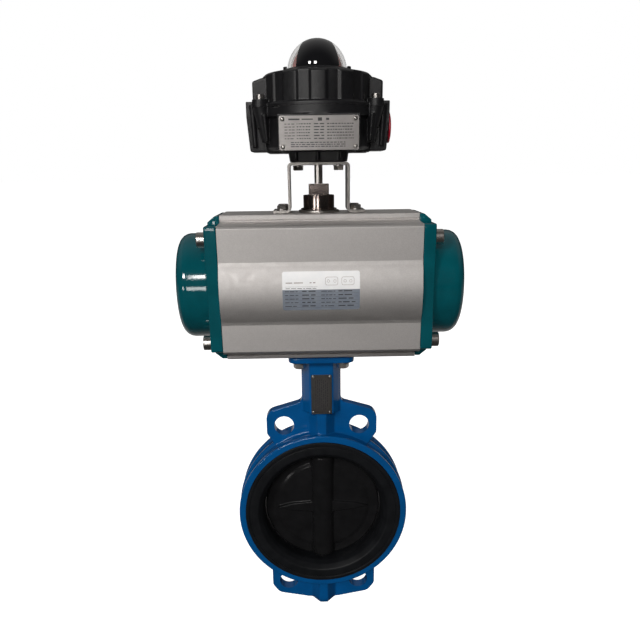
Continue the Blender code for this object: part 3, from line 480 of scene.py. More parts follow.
def blasted(name, colour, metallic, roughness):
    """Bead-blasted and anodised: an even satin with a very fine sparkle."""
    made = Finish(name, metallic=metallic)
    tone = made.ramp(made.noise(45 * MM, 2.0, stretch=(3, 1, 1)), (0.35, scaled(colour, 0.96)),
        (0.65, scaled(colour, 1.03)))
    grain = made.noise(0.35 * MM, 3.0, 0.8)
    speck = made.between(made.noise(1.3 * MM, 1.0), 0.3, 0.7, 0.0, 0.5)
    shares = made.maths("MULTIPLY", made.between(grain, 0.3, 0.7, 0.4, 1.0), speck)
    made.feed("Base Color", made.mix(shares, tone, scaled(colour, 0.82)))
    made.uneven(6, 3.0, roughness * 0.94, roughness * 1.06)
    made.bump((grain, 0.007 * MM))
    return made.material


def machined(name, colour, roughness, stretch=(1, 1, 1), size=0.25, depth=0.01):
    """Bare metal with tool or brush marks that run along the stretched axis."""
    made = Finish(name, metallic=1.0)
    lines = made.noise(size * MM, 4.0, 0.7, stretch)
    tone = made.clouds(7, 3.0, colour, 0.88, 1.0)
    made.feed("Base Color", made.mix(made.between(lines, 0.35, 0.75, 0.0, 0.35), tone, scaled(colour, 0.7)))
    made.feed("Roughness", made.between(lines, 0.3, 0.7, roughness * 0.8, roughness * 1.25))
    made.bump((lines, depth * MM))
    return made.material


def rubber(name, colour, roughness, gloss):
    made = Finish(name)
    made.feed("Specular IOR Level", gloss)
    dust = made.noise(14 * MM, 4.0)
    made.feed("Base Color", made.ramp(dust, (0.3, colour), (0.75, scaled(colour, 1.5))))
    made.feed("Roughness", made.between(dust, 0.3, 0.7, roughness * 0.9, roughness * 1.12))
    made.bump((made.noise(0.5 * MM, 2.0), 0.02 * MM))
    return made.material


def powder_coat(name, colour, roughness):
    """Black powder coat: fine leathery grain with worn edges."""
    made = Finish(name)
    tone = made.clouds(20, 3.0, colour, 0.85, 1.25)
    chips = made.between(made.noise(2.5 * MM, 3.0, 0.7), 0.50, 0.60)
    made.feed("Base Color", made.mix(made.maths("MULTIPLY", made.edges(), chips), tone, (0.16, 0.15, 0.15)))
    made.uneven(5, 2.0, roughness * 0.9, roughness * 1.15)
    made.bump((made.noise(0.9 * MM, 2.0), 0.05 * MM), (made.noise(5 * MM, 2.0), 0.12 * MM))
    return made.material


def plastic(name, colour, roughness):
    """Moulded plastic with a fine grain and a little unevenness of tone."""
    made = Finish(name, coat_weight=0.1)
    made.feed("Base Color", made.clouds(12, 2.0, colour, 0.9, 1.08))
    made.uneven(4, 2.0, roughness * 0.9, roughness * 1.1)
    made.bump((made.noise(0.8 * MM, 2.0), 0.02 * MM))
    return made.material


def masked_dome():
    """Clear plastic with a black band painted inside it from front to back over the top."""
    made = Finish("dome_plastic", coat_weight=0.6, coat_roughness=0.02)
    across = made.maths("ABSOLUTE", made.axis("X"))
    # The band is widest at the dome's foot and narrows towards the crown along an ellipse.
    climb = made.maths("DIVIDE", made.maths("SUBTRACT", made.axis("Z"), DOME_BASE * MM), 36 * MM)
    left = made.maths("MAXIMUM", made.maths("SUBTRACT", 1.0, made.maths("MULTIPLY", climb, climb)), 0.0)
    limit = made.maths("MULTIPLY", made.maths("SQRT", left), 22 * MM)
    inside = made.between(made.maths("SUBTRACT", limit, across), -0.25 * MM, 0.25 * MM)
    made.feed("Base Color", made.mix(inside, (0.50, 0.47, 0.43), (0.006, 0.006, 0.007)))
    # Clear plastic hides more where it is seen edge on.
    edge_on = made.node("ShaderNodeLayerWeight")
    edge_on.inputs["Blend"].default_value = 0.35
    haze = made.between(edge_on.outputs["Facing"], 0.2, 1.0, 0.20, 0.45)
    made.feed("Alpha", made.maths("MAXIMUM", inside, haze))
    made.uneven(10, 2.0, 0.02, 0.07)
    made.bump((made.noise(9 * MM, 1.0), 0.03 * MM))
    return made.material


def sticker():
    """A foil label, white above and bluish grey below."""
    made = Finish("sticker_foil", roughness=0.35, coat_weight=0.3)
    lower = made.between(made.axis("Z"), (LABEL_SPLIT + 0.2) * MM, (LABEL_SPLIT - 0.2) * MM)
    faint = made.ramp(made.noise(9 * MM, 3.0), (0.3, (0.80, 0.81, 0.82)), (0.7, (0.86, 0.86, 0.86)))
    foil = made.ramp(made.noise(9 * MM, 3.0), (0.3, (0.165, 0.19, 0.235)), (0.7, (0.21, 0.235, 0.27)))
    made.feed("Base Color", made.mix(lower, faint, foil))
    made.bump((made.noise(3 * MM, 2.0), 0.01 * MM))
    return made.material


BLUE = paint("blue_epoxy", (0.0010, 0.079, 0.255), 0.09, cast=0.07, wear=(0.02, 0.15, 0.40))
TEAL = paint("teal_paint", (0.0008, 0.077, 0.096), 0.08, wear=(0.02, 0.17, 0.20))
ANODISED = blasted("anodised_aluminium", (0.70, 0.675, 0.66), 1.0, 0.60)
ALUMINIUM = machined("bare_aluminium", (0.78, 0.78, 0.79), 0.38, (8, 1, 1))
STAINLESS = machined("stainless", (0.60, 0.57, 0.54), 0.30, depth=0.006)
BRUSHED = machined("brushed_stainless", (0.40, 0.38, 0.36), 0.34, (1, 1, 30), 0.3, 0.012)
ETCHED = machined("etched_plate", (0.38, 0.36, 0.35), 0.36, (30, 1, 1), 0.3, 0.01)
STEEL = machined("plated_steel", (0.36, 0.30, 0.275), 0.16, (1, 1, 0.2), 0.4, 0.006)
BRONZE = machined("bearing_bronze", (0.62, 0.40, 0.18), 0.40)
RUBBER = rubber("black_rubber", (0.0055, 0.0060, 0.0070), 0.40, 0.18)
COATING = rubber("disc_coating", (0.0068, 0.0068, 0.0073), 0.16, 0.14)
COAT_BLACK = powder_coat("black_paint", (0.0070, 0.0070, 0.0080), 0.40)
NYLON = plastic("nylon", (0.72, 0.70, 0.64), 0.45)
RED = plastic("red_plastic", (0.52, 0.010, 0.035), 0.35)
SWITCH = plastic("switch_plastic", (0.03, 0.03, 0.035), 0.5)
DOME = masked_dome()
STICKER = sticker()
INK = plastic("ink", (0.030, 0.030, 0.034), 0.5)
FAINT_INK = plastic("faint_ink", (0.30, 0.24, 0.22), 0.5)
DARK_PLATE = machined("dark_plate", (0.145, 0.138, 0.132), 0.45, (1, 1, 12), 0.35, 0.01)


# ---- shared small shapes -----------------------------------------------------------------

def hex_head(name, across_flats, washer_r, washer, head, shank_r, length):
    """A hexagon bolt standing head up, with its washer on z = 0 and its corners chamfered."""
    corner = across_flats / math.sqrt(3)
    top = washer + head
    body = prism(name, arc((0, 0), corner, 0, 300, 5), washer - 0.1, top)
    crown = lathe("crown", [(0, top), (across_flats * 0.46, top), (corner * 1.01, top - head * 0.22),
        (corner * 1.01, washer - 0.2), (0, washer - 0.2)], steps=60)
    combine(body, [crown], "INTERSECT")
    disc = lathe("washer", [(0, washer), (washer_r, washer, 0.25), (washer_r, 0, 0.2), (0, 0)], steps=60)
    shank = lathe("shank", [(0, washer * 0.5), (shank_r, washer * 0.5), (shank_r, 0.8 - length),
        (shank_r - 0.8, -length), (0, -length)], steps=32)
    join(body, disc, shank)
    return shade(soften(body, 0.15, 2, 40), 30, weighted=True)


def socket_head(name, radius, head, shank_r, length, key):
    """A socket head screw standing head up on z = 0."""
    profile = [(0, head), (radius, head, 0.7), (radius, 0, 0.15), (shank_r, 0), (shank_r, -length),
        (0, -length)]
    screw = lathe(name, profile, steps=64)
    hollow = prism("socket", arc((0, 0), key, 0, 300, 5), head * 0.45, head + 1)
    return shade(cut(screw, hollow), 30, weighted=True)


def dome_screw(name, radius, rise, slot_width):
    """A small round-headed plate screw that stands on z = 0, with a cross slot."""
    screw = lathe(name, [(0, rise), (radius * 0.55, rise * 0.93), (radius * 0.9, rise * 0.5), (radius, 0),
        (0, 0)], steps=32)
    bar = radius * 0.55
    cross = [block("bar_x", (-bar, -slot_width, rise * 0.45), (bar, slot_width, rise * 2)),
        block("bar_y", (-slot_width, -bar, rise * 0.45), (slot_width, bar, rise * 2))]
    return shade(cut(screw, *cross), 35)


def dashes(generator, start, end, shortest, longest, gap):
    """Lengths of a row of printed dashes, as (start, end) pairs."""
    row = []
    x = start
    while x < end - shortest:
        reach = min(end, x + generator.uniform(shortest, longest))
        row.append((x, reach))
        x = reach + gap * generator.uniform(0.8, 1.8)
    return row


def print_row(rows, chance, z, *columns):
    """Adds a row of dashes at a height, from (start, end, shortest, longest, gap, thickness) columns."""
    for start, end, shortest, longest, gap, thick in columns:
        rows += [(*dash, z, z + thick) for dash in dashes(chance, start, end, shortest, longest, gap)]


def marks(name, rows, thick, front, finish):
    """Thin raised bars on a plate that faces the front, from (x0, x1, z0, z1) rectangles."""
    made = bmesh.new()
    for x0, x1, z0, z1 in rows:
        lowest, highest = Vector((x0, front - thick, z0)), Vector((x1, front + thick, z1))
        size = highest - lowest
        place = Matrix.Translation((lowest + highest) / 2) @ Matrix.Diagonal((*size, 1.0))
        bmesh.ops.create_cube(made, size=1.0, matrix=place)
    return from_bmesh(name, made, finish)


def face_plate(name, node, corner, finish):
    """A plate in a node's place that faces the front. Gives its front, half sizes and middle height."""
    front, back, wide, mid = low(node, 1), high(node, 1), high(node, 0), middle(node, 2)
    tall = high(node, 2) - mid
    base = prism(name, plate(wide, tall, corner), front, back, finish, "Y", (0, 0, mid))
    settle(shade(soften(base, 0.15, 2), 30, weighted=True), "valve_frame", node, slot="stainless")
    return front, wide, tall, mid


def plate_screws(name, size, wide, tall, front, mid):
    """A small round-headed screw near each corner of a plate."""
    for i, (x, z) in enumerate(CORNERS):
        screw = dome_screw(f"{name}_{i}", *size)
        screw.rotation_euler = (math.pi / 2, 0, 0)
        screw.location = (x * wide, front, mid + z * tall)
        settle(screw, "valve_frame", finish=STAINLESS, slot="stainless")


# ---- valve -------------------------------------------------------------------------------

def lug_places():
    angle = math.radians(22.5)
    reach = 120
    return [(sx * reach * math.sin(angle), 0, sz * reach * math.cos(angle)) for sx, sz in CORNERS]


def flange_bolts():
    return [("flange_bolt_" + name, midpoint("flange_bolt_" + name)) for name in CORNER_NAMES]


def flange_holes(start, end):
    return rods("flange_hole", 4.6, start, end, [(place.x, place.y, 0) for _, place in flange_bolts()], 32)


def casting_shape():
    """The raw shape of the valve's casting before its corners are blended."""
    rim = RIM_R
    section = [(LIP_R - 10, BODY_HALF), (rim, BODY_HALF), (rim, BODY_HALF - 5.5),
        (rim - 2.4, BODY_HALF - 8.0), (rim - 2.4, 3.4), (rim + 0.7, 2.4)]
    ring = lathe("valve_casting", mirrored(section, 1), BLUE, "Y", 160, ring=True)
    web = 7
    pad_x, pad_y, side = 13.5, 21.5, 23.5
    top_half = [(0, 86), (58, 86), (LUG_X, 100, 6), (LUG_X, 128.5, 13), (side, 141.5, 7), (side, 156),
        (0, 156)]
    foot_half = [(0, FOOT + 0.2), (18, FOOT + 0.4, 40), (59, -129.5, 12), (LUG_X, -117.5, 8), (LUG_X, -74),
        (0, -85)]
    nose, root, reach = 5.0, 15.8, 20.5
    rib = mirrored([(nose, -reach), (root, -web), (root, web), (nose, reach)])
    column = mirrored([(pad_x, -pad_y), (20, -12), (side, -5), (side, 5), (20, 12), (pad_x, pad_y)])
    flange = prism("flange", plate(37.8, 36.0, 10, 8), FLANGE_TOP - 6.5, FLANGE_TOP)
    heap(ring, prism("top_lugs", rounded(mirrored(top_half), 8), -web, web, None, "Y"),
        prism("bottom_lugs", rounded(mirrored(foot_half), 8), -web, web, None, "Y"),
        prism("upper_rib", rib, 97, 134), prism("lower_rib", rib, FOOT + 4, -97),
        prism("foot", [(x * 0.94, y * 0.94) for x, y in rib], FOOT, -97),
        prism("neck", column, 130.2, FLANGE_TOP - 2), flange)
    return ring


def make_casting():
    body = as_cast(casting_shape(), 0.85, 7, 0.45)
    clear = BODY_HALF - 3
    tools = [rod("bore", BORE_R, -2 * clear, 2 * clear, "Y", steps=160),
        rod("front_recess", LIP_R + 0.3, -2 * BODY_HALF, -clear, "Y", steps=160),
        rod("rear_recess", LIP_R + 0.3, clear, 2 * BODY_HALF, "Y", steps=160),
        rod("upper_stem_bore", 12.6, 60, FLANGE_TOP + 10), rod("lower_stem_bore", 10.5, -130, -60)]
    cut(body, *tools, *rods("lug_hole", 12.0, -20, 20, lug_places(), 64, "Y"), *flange_holes(190, 210))
    shade(body, 42)
    settle(body, "valve_frame", "valve_body", slot="blue_epoxy")


def make_seat():
    """The rubber seat: lips over both faces with a shallow groove, and a domed bore."""
    face, seat_r = SEAT_FACE, 73.2
    lip_back = BODY_HALF - 2.7
    sleeve = BORE_R - 0.3
    section = [(sleeve, lip_back), (LIP_R, lip_back, 0.2), (LIP_R, face, 0.8), (LIP_R - 4.0, face, 0.3),
        (LIP_R - 4.6, face - 0.7, 0.3), (LIP_R - 5.6, face - 0.7, 0.3), (LIP_R - 6.2, face, 0.3),
        (LIP_R - 15.5, face, 3.0), (seat_r + 2.6, face - 5.5, 3.0), (seat_r, 18, 6)]
    seat = lathe("rubber_seat", mirrored(section, 1), RUBBER, "Y", 160, ring=True)
    cut(seat, rod("seat_top", 10.1, 50, 100), rod("seat_foot", 7.5, -100, -50))
    settle(shade(seat, 30), "valve_frame", "seat_liner", slot="black_rubber")


def make_disc():
    """The disc: a dished plate with a stem hub and a pointed cross rib, coated black."""
    crown = 7.5
    face = [(0, crown), (30, crown), (56, 6.2, 8), (61, 4.2, 3), (66, 4.2, 3), (DISC_R - 1.6, 4.6, 1.2),
        (DISC_R, 2.6)]
    disc = lathe("fine_disc", mirrored(face, 1), COATING, "Y", 128)
    leaf = mirrored([(-57, 0), (-40, 4.6, 30), (0, 8.5, 40), (40, 4.6, 30), (57, 0)], 1)
    rib = prism("rib", rounded(leaf), -10.2, 10.2, None, "Y")
    hub = lathe("hub", [(0, 70), (15.4, 70, 3), (16, 0), (15.4, -70, 3), (0, -70)], None, "Z", 64)
    as_cast(heap(disc, rib, hub), 0.75, 8)
    keep = rod("trim", DISC_R, -30, 30, "Y", steps=160)
    combine(disc, [keep], "INTERSECT")
    drive_slot = block("slot", (-9.49, -7.3, -80), (9.49, 7.3, -15))
    cut(disc, rod("bore_high", 9.8, -16, 80), drive_slot)
    settle(shade(disc, 40), "valve_shaft", "valve_disc", slot="disc_coating")


def make_flange_bolts():
    shape = hex_head("flange_bolt", 13, 8, 1.6, 5.3, 4, 18)
    under = high("flange_bolt_front_left", 2) - 18
    places = [(name, (place.x, place.y, under), (math.pi, 0, 0)) for name, place in flange_bolts()]
    copies(shape, STAINLESS, "valve_frame", "stainless", places)


def make_neck_plate():
    """A dark plate with a rivet at each corner and columns of small dashes."""
    front, wide, tall, mid = face_plate("neck_plate", "valve_nameplate", 1.4, DARK_PLATE)
    chance = random.Random(11)
    rows = []
    for column in range(7):
        x = -7.2 + 2.3 * column
        stretch = 19 if column < 6 else 15
        for start, end in dashes(chance, -stretch, stretch, 1.2, 5.0, 0.8):
            rows.append((x, x + 0.9, mid + start, mid + end))
    settle(marks("neck_plate_rows", rows, 0.05, front, INK), "valve_frame", slot="stainless")
    plate_screws("neck_plate_rivet", (1.5, 0.8, 0.1), wide - 2.3, tall - 2.3, front, mid)


# ---- actuator ----------------------------------------------------------------------------

def extrusion_outline():
    """Half of the extrusion's section as (depth, height), bottom to top, heights about its middle."""
    table, flat = 34.2, 65.3
    chord = 31.6
    swing = math.degrees(math.asin(chord / BULGE_R))
    lower = [(table - 0.6, -ACT_RISE, 0.6), (table, -ACT_RISE + 0.8, 0.4), (table, -75.3, 0.4),
        (table - 5, -75.0), (table - 5, -71.8), (40.0, -70.3, 3), (flat - 2.0, -65.5, 1.2),
        (flat, -63.0, 1.6), (flat, -33.4, 0.9)]
    # The bulge meets each flat band in a small fillet.
    bulge = arc((0, 0), BULGE_R, -swing + 1.1, swing - 1.1, 40)
    upper = [(flat, 33.4, 0.9), (flat, 67.6, 1.6), (flat - 2.0, 70.0, 1.2), (40.0, 71.2, 3),
        (table - 1.2, 72.4, 0.8), (table, 74.6, 0.5), (table, ACT_RISE - 0.8, 0.4),
        (table - 0.6, ACT_RISE, 0.6)]
    return lower, bulge, upper


def cap_screw_places():
    return [(0, sy * 50, sz * 55.6) for sy, sz in CORNERS]


def make_extrusion():
    lower, bulge, upper = extrusion_outline()
    half = rounded(lower + [bulge[0]], 5, closed=False) + bulge[1:-1]
    half += rounded([bulge[-1]] + upper, 5, closed=False)
    body = prism("extrusion", mirrored(half), -ACT_HALF, ACT_HALF, ANODISED, "X", (0, 0, ACT_MID))
    pad = soften(block("port_pad", (-30, 64, ACT_MID - 22), (30, 74, ACT_MID + 22)), 0.6, 3)
    join(body, pad)
    tools = [rod("cylinder", 62.5, -200, 200, "X", (0, 0, ACT_MID), 96),
        rod("bottom_bearing", 27.6, 190, ACT_MID, steps=72), rod("top_bearing", 23.3, ACT_MID, 380, steps=72)]
    tools += flange_holes(190, ACT_LOW + 13)
    for side in (LEFT, RIGHT):
        tools.append(rod(f"stop_{side}", 5.3, 30, 80, "Y", (side * 32, 0, 240), 32))
        tools.append(rod(f"air_{side}", 5.8, 30, 90, "Y", (side * 12, 0, ACT_MID), 48))
        ports = [(side * 12, 0, ACT_MID + z) for z in (-16, 16)]
        taps = [(side * 40, y, 0) for y in (-15, 15)]
        tools += rods("port", 2.2, 65.5, 90, ports, 24, "Y")
        tools += rods("tap", 3.4, ACT_TOP - 10, ACT_TOP + 10, taps, 24)
    cut(body, *tools)
    shade(body, 22, weighted=True)
    settle(body, "valve_frame", "actuator_body", slot="anodised_aluminium")


def wrap(obj):
    """Bends a flat sheet that faces the front onto the bulge, keeping its own thickness."""
    for vertex in obj.data.vertices:
        rise = vertex.co.z / MM - ACT_MID
        vertex.co.y -= math.sqrt(BULGE_R * BULGE_R - rise * rise) * MM
    return obj


def make_label():
    """The sticker on the bulge, with generic rows of print and two plain symbols."""
    half_x, bottom, top = 40.5, ACT_MID - 16.3, ACT_MID + 24.0
    mid, tall = (bottom + top) / 2, (top - bottom) / 2
    sheet = prism("data_label", plate(half_x, tall, 2.2, 5, (0, mid)), -0.15, 0.15, STICKER, "Y")
    made = bmesh.new()
    made.from_mesh(sheet.data)
    for step in range(1, 20):
        z = bottom + (top - bottom) * step / 20
        bmesh.ops.bisect_plane(made, geom=made.verts[:] + made.edges[:] + made.faces[:],
            plane_co=(0, 0, z * MM), plane_no=(0, 0, 1))
    made.to_mesh(sheet.data)
    made.free()
    settle(shade(wrap(sheet), 30), "valve_frame", slot="anodised_aluminium")

    chance = random.Random(5)
    dark, faint = [], []
    for start, end in ((-37, -30), (-28.5, -19), (-12, -10), (-8.5, -6)):
        faint.append((start, end, LABEL_SPLIT + 6.6, LABEL_SPLIT + 7.5))
    dark.append((-38, -4, LABEL_SPLIT + 3.0, LABEL_SPLIT + 3.15))
    print_row(dark, chance, LABEL_SPLIT + 1.1, (-37, -5, 1.6, 6, 0.8, 0.5))
    for line in range(5):
        z = LABEL_SPLIT - 2.2 - 3.9 * line
        dark.append((-39, 39, z - 1.35, z - 1.22))
        print_row(dark, chance, z, (-38, -24, 2, 7, 0.9, 0.75), (-20, -6, 3, 9, 1.2, 1.1),
            (0, 16, 2, 7, 0.9, 0.75), (18, 36, 3, 9, 1.2, 1.1))
    for name, rows, ink in (("label_print", dark, INK), ("label_heading", faint, FAINT_INK)):
        settle(wrap(marks(name, rows, 0.05, -0.15, ink)), "valve_frame", slot="anodised_aluminium")
    # Two plain frames, each around a pair of rings.
    rings = []
    for x, gap in ((11, 3.4), (28, 3.0)):
        z = LABEL_SPLIT + 8.5
        outer = prism(f"frame_{x}", plate(6.6, 4.2, 2.0, 4, (x, z)), -0.2, -0.1, None, "Y")
        inner = prism("hollow", plate(6.3, 3.9, 1.8, 4, (x, z)), -0.3, 0, None, "Y")
        rings.append(cut(outer, inner))
        for side in (LEFT, RIGHT):
            ring = rod("ring", 1.5, -0.2, -0.1, "Y", (x + side * gap, 0, z), 24)
            rings.append(cut(ring, rod("eye", 1.2, -0.3, 0, "Y", (x + side * gap, 0, z), 24)))
    symbols = heap(from_bmesh("label_symbols", bmesh.new(), FAINT_INK), *rings)
    settle(wrap(symbols), "valve_frame", slot="anodised_aluminium")


def make_end_caps():
    """Cast caps: a domed cup on a flange with chamfered shoulders."""
    flange_end = CAP_START + 13.0
    dome_r, nose, inside_r, wall = 58.3, 12.5, 51.5, 7
    cap = lathe("cap", [(0, CAP_END), (dome_r, CAP_END - 1.2, nose), (dome_r, CAP_START + 2),
        (0, CAP_START + 2)], TEAL, "X", 128)
    slab = plate(CAP_DEPTH, 66.8, 3, 6, (0, 3.4))
    flange = soften(prism("slab", slab, CAP_START, flange_end, None, "X"), 0.8, 3, 60)
    wedges = []
    for sign, ledge in ((1, 60), (-1, 55)):
        edge = sign * (ACT_RISE - 1.0)
        face = flange_end - 0.2
        wedge = [(CAP_START, sign * ledge), (face, sign * ledge), (face, edge - sign * 6.3),
            (flange_end - 8.0, edge), (CAP_START, edge)]
        wedges.append(soften(prism(f"table_{sign}", wedge, -34.0, 34.0, None, "Y"), 0.6, 3, 30))
    as_cast(heap(cap, flange), 0.65, 3)
    mating = block("mating_face", (CAP_START - 5, -100, -100), (CAP_START + 0.02, 100, 100))
    hollow = lathe("hollow", [(0, CAP_END - wall), (inside_r, CAP_END - wall, nose),
        (inside_r, CAP_START - 10), (0, CAP_START - 10)], None, "X", 96)
    holes = rods("screw", 5.3, 90, 130, cap_screw_places(), 32, "X")
    spots = rods("spot", 9.4, flange_end - 0.15, flange_end + 30, cap_screw_places(), 48, "X")
    cut(cap, mating, hollow, *holes, *spots)
    heap(cap, *wedges)  # the wedges keep their crisp edges
    shade(cap, 40)
    copies(cap, TEAL, "valve_frame", "teal_paint", [("end_cap_right", (0, 0, ACT_MID), (0, 0, 0)),
        ("end_cap_left", (0, 0, ACT_MID), (0, 0, math.pi))])


def make_cap_screws():
    shape = socket_head("cap_screw", 8, high("cap_screw_right_front_top", 0) - CAP_SEAT, 4.6, 36, 4.6)
    corners = ("front_bottom", "front_top", "rear_bottom", "rear_top")
    places = []
    for side, word in ((LEFT, "left"), (RIGHT, "right")):
        for corner, (_, y, z) in zip(corners, cap_screw_places()):
            turn = (0, side * math.pi / 2, 0)
            places.append((f"cap_screw_{word}_{corner}", (side * CAP_SEAT, y, ACT_MID + z), turn))
    copies(shape, STAINLESS, "valve_frame", "stainless", places)


def gear_outline(teeth=16, module=2.5, steps=6):
    """Involute teeth with one on the +Y axis."""
    pressure = math.radians(20)
    pitch_r = module * teeth / 2
    base_r, tip_r, root_r = pitch_r * math.cos(pressure), pitch_r + 2.2, pitch_r - 2.9
    involute = math.tan(pressure) - pressure
    half_tooth = (math.pi * module / 2 - 0.25) / 2 / pitch_r
    flank = []
    for i in range(steps + 1):
        radius = base_r + (tip_r - base_r) * i / steps
        roll = math.acos(min(1.0, base_r / radius))
        flank.append((radius, half_tooth + involute - (math.tan(roll) - roll)))
    side = [(root_r, flank[0][1] + 0.01)] + flank
    points = []
    for tooth in range(teeth):
        mid = math.pi / 2 + 2 * math.pi * tooth / teeth
        points += [(r * math.cos(mid - a), r * math.sin(mid - a)) for r, a in side]
        points += [(r * math.cos(mid + a), r * math.sin(mid + a)) for r, a in reversed(side)]
    return points


def make_pinion():
    """The pinion with its flats, slot and drive bore, finely turned."""
    drive_r, top_journal, journal = 17.1, 20.5, 24.5
    shoulder = ACT_TOP + 18.5
    cam_low, cam_high = low("stop_cam", 2), high("stop_cam", 2)
    foot = low("pinion", 2)
    profile = [(0, PINION_TOP), (15.2, PINION_TOP, 0.6), (15.2, shoulder, 0.4), (drive_r, shoulder, 0.7),
        (drive_r, ACT_TOP + 4.6), (16, ACT_TOP + 4.6), (16, ACT_TOP + 3.0), (drive_r, ACT_TOP + 3.0),
        (drive_r, ACT_TOP - 0.3), (top_journal, ACT_TOP - 0.3), (top_journal, 340), (16.5, 340),
        (16.5, cam_high + 0.5), (21.5, cam_high + 0.5), (21.5, cam_low - 0.5), (journal, cam_low - 0.5),
        (journal, foot, 0.5), (0, foot)]
    pinion = lathe("fine_pinion", profile, STEEL, steps=96)
    eighth = math.cos(math.pi / 8)
    seat = prism("cam_seat", arc((0, 0), 22.5 / eighth, 22.5, 337.5, 7), cam_low - 1, cam_high)
    teeth = prism("teeth", gear_outline(), -20, 20, None, "Z", (0, 0, ACT_MID))
    join(pinion, teeth, seat)
    flat, reach = 11.0, 40
    shavings = []
    for i in range(4):
        shaving = block(f"flat_{i}", (flat, -reach, shoulder), (reach, reach, PINION_TOP + reach))
        soften(shaving, 0.9, 4, 60).rotation_euler = (0, 0, i * math.pi / 2)
        shavings.append(shaving)
    socket = 7.2
    shavings.append(block("socket", (-socket, -socket, 190), (socket, socket, FLANGE_TOP + 30)))
    shavings.append(block("slot", (-30, -2.2, PINION_TOP - 8), (30, 2.2, PINION_TOP + 10)))
    cut(pinion, *shavings)
    settle(shade(pinion, 28), "pinion_shaft", "pinion", slot="plated_steel")


def make_pinion_rings():
    """The thrust washer on top of the actuator and the circlip that keeps it down."""
    for name, body, inner, corners, finish, slot in (("thrust_washer", "valve_frame", 17.5, (0.9, 0.3, 0.2),
            STAINLESS, "stainless"), ("circlip", "pinion_shaft", 16.3, (0.2, 0.2, 0.1), STEEL,
            "plated_steel")):
        node = "pinion_" + name
        bottom, top, outer = low(node, 2), high(node, 2), high(node, 0)
        ring = lathe("fine_" + name, [(outer, top, corners[0]), (outer, bottom, corners[1]), (inner, bottom),
            (inner, top, corners[2])], finish, ring=True)
        if name == "circlip":
            cut(ring, block("gap", (-2.5, -outer - 1, bottom - 1), (2.5, 0, top + 1)))
        settle(shade(ring, 40), body, node, slot=slot)


def lock_hexagon(name, half_flats, start, end, crown, ring=False):
    """A hexagon along Y, cut back by a turned crown. A radius of None is just outside its corners."""
    reach = half_flats / math.cos(math.pi / 6)
    body = prism(name, arc((0, 0), reach, 30, 330, 5), start, end, None, "Y")
    profile = [(reach * 1.01 if radius is None else radius, y) for radius, y in crown]
    return combine(body, [lathe("crown", profile, None, "Y", 60, ring)], "INTERSECT")


def make_stops():
    """The stop screws and lock nuts behind the actuator, with hexagon heads and a rounded tip."""
    for word in ("closed", "open"):
        screw_node, nut_node = "stop_screw_" + word, "stop_nut_" + word
        place = midpoint(screw_node)
        top, tip = high(screw_node, 1), low(screw_node, 1)
        screw = lathe("fine_" + screw_node, [(0, top - 2), (4.8, top - 2), (4.8, tip + 1.5, 1),
            (2.8, tip, 0.5), (0, tip)], None, "Y", 48)
        grooves = [top - (8.6 + 1.5 * k) for k in range(5)]
        cut(screw, *(lathe("thread", [(5.6, y + 0.75), (5.6, y - 0.75), (4.25, y)], None, "Y", 32, ring=True)
            for y in grooves))
        join(screw, lock_hexagon("head", 8, top - 6.4, top, [(0, top), (7.6, top), (None, top - 1.2),
            (None, top - 7), (0, top - 7)]))
        start, end = low(nut_node, 1), high(nut_node, 1)
        nut = lock_hexagon("fine_" + nut_node, 8.5, start, end, [(8.0, end), (None, end - 1.2),
            (None, start + 1.2), (8.0, start), (5.2, start), (5.2, end)], ring=True)
        screw.location = nut.location = (place.x, 0, place.z)
        settle(shade(screw, 30), word + "_stop", screw_node, finish=STAINLESS, slot="stainless")
        settle(shade(nut, 30), "valve_frame", nut_node, finish=STAINLESS, slot="stainless")


# ---- switch box --------------------------------------------------------------------------

def make_bracket():
    thick, bend, side = 2.8, 4.5, 33.3
    bottom, top, foot = BRACKET_LOW, BRACKET_TOP, BRACKET_FOOT
    inner = bend - thick
    half = [(side, top, bend), (side, bottom + thick, inner), (foot, bottom + thick), (foot, bottom),
        (side - thick, bottom, bend), (side - thick, top - thick, inner)]
    outline = rounded(mirrored(half), 10)
    bracket = prism("fine_bracket", outline, -BRACKET_DEPTH, BRACKET_DEPTH, BRUSHED, "Y")
    top_holes = rods("top", 3.4, 400, 420, [(s * 22, 0, 0) for s in (LEFT, RIGHT)], 32)
    foot_holes = rods("foot", 3.4, 350, 380, [(sx * 40, sy * 15, 0) for sx, sy in CORNERS], 32)
    cut(bracket, *top_holes, *foot_holes, rod("window", 12, 400, 420, steps=64))
    soften(bracket, 0.25, 2, 50)
    settle(shade(bracket, 25, weighted=True), "valve_frame", "mounting_bracket", slot="stainless")


def make_bracket_bolts():
    for name, washer_r, corners, seat, turn in (
            ("foot_bolt", 6.0, CORNER_NAMES, BRACKET_LOW + 3.1, (0, 0, 0.2)),
            ("top_bolt", 5.8, ("left", "right"), BRACKET_TOP - 3.1, (math.pi, 0, 0.35))):
        shape = hex_head(name, 10, washer_r, 1.2, 4.0, 2.9, 11)
        nodes = [f"bracket_{name}_{corner}" for corner in corners]
        places = [(node, (middle(node, 0), middle(node, 1), seat), turn) for node in nodes]
        copies(shape, STAINLESS, "valve_frame", "stainless", places)


EAR_TOP = 476.2
NOTCH = ((-45.3, -64), (-38.5, -38))  # the pry notch on the left of the front, from (x, y) to (x, y)


def cover_bolt_places():
    return [(sx * 59, sy * 28, 0) for sy, sx in CORNERS]


def pry_notch(start, end):
    return block("pry_notch", (*NOTCH[0], start), (*NOTCH[1], end))


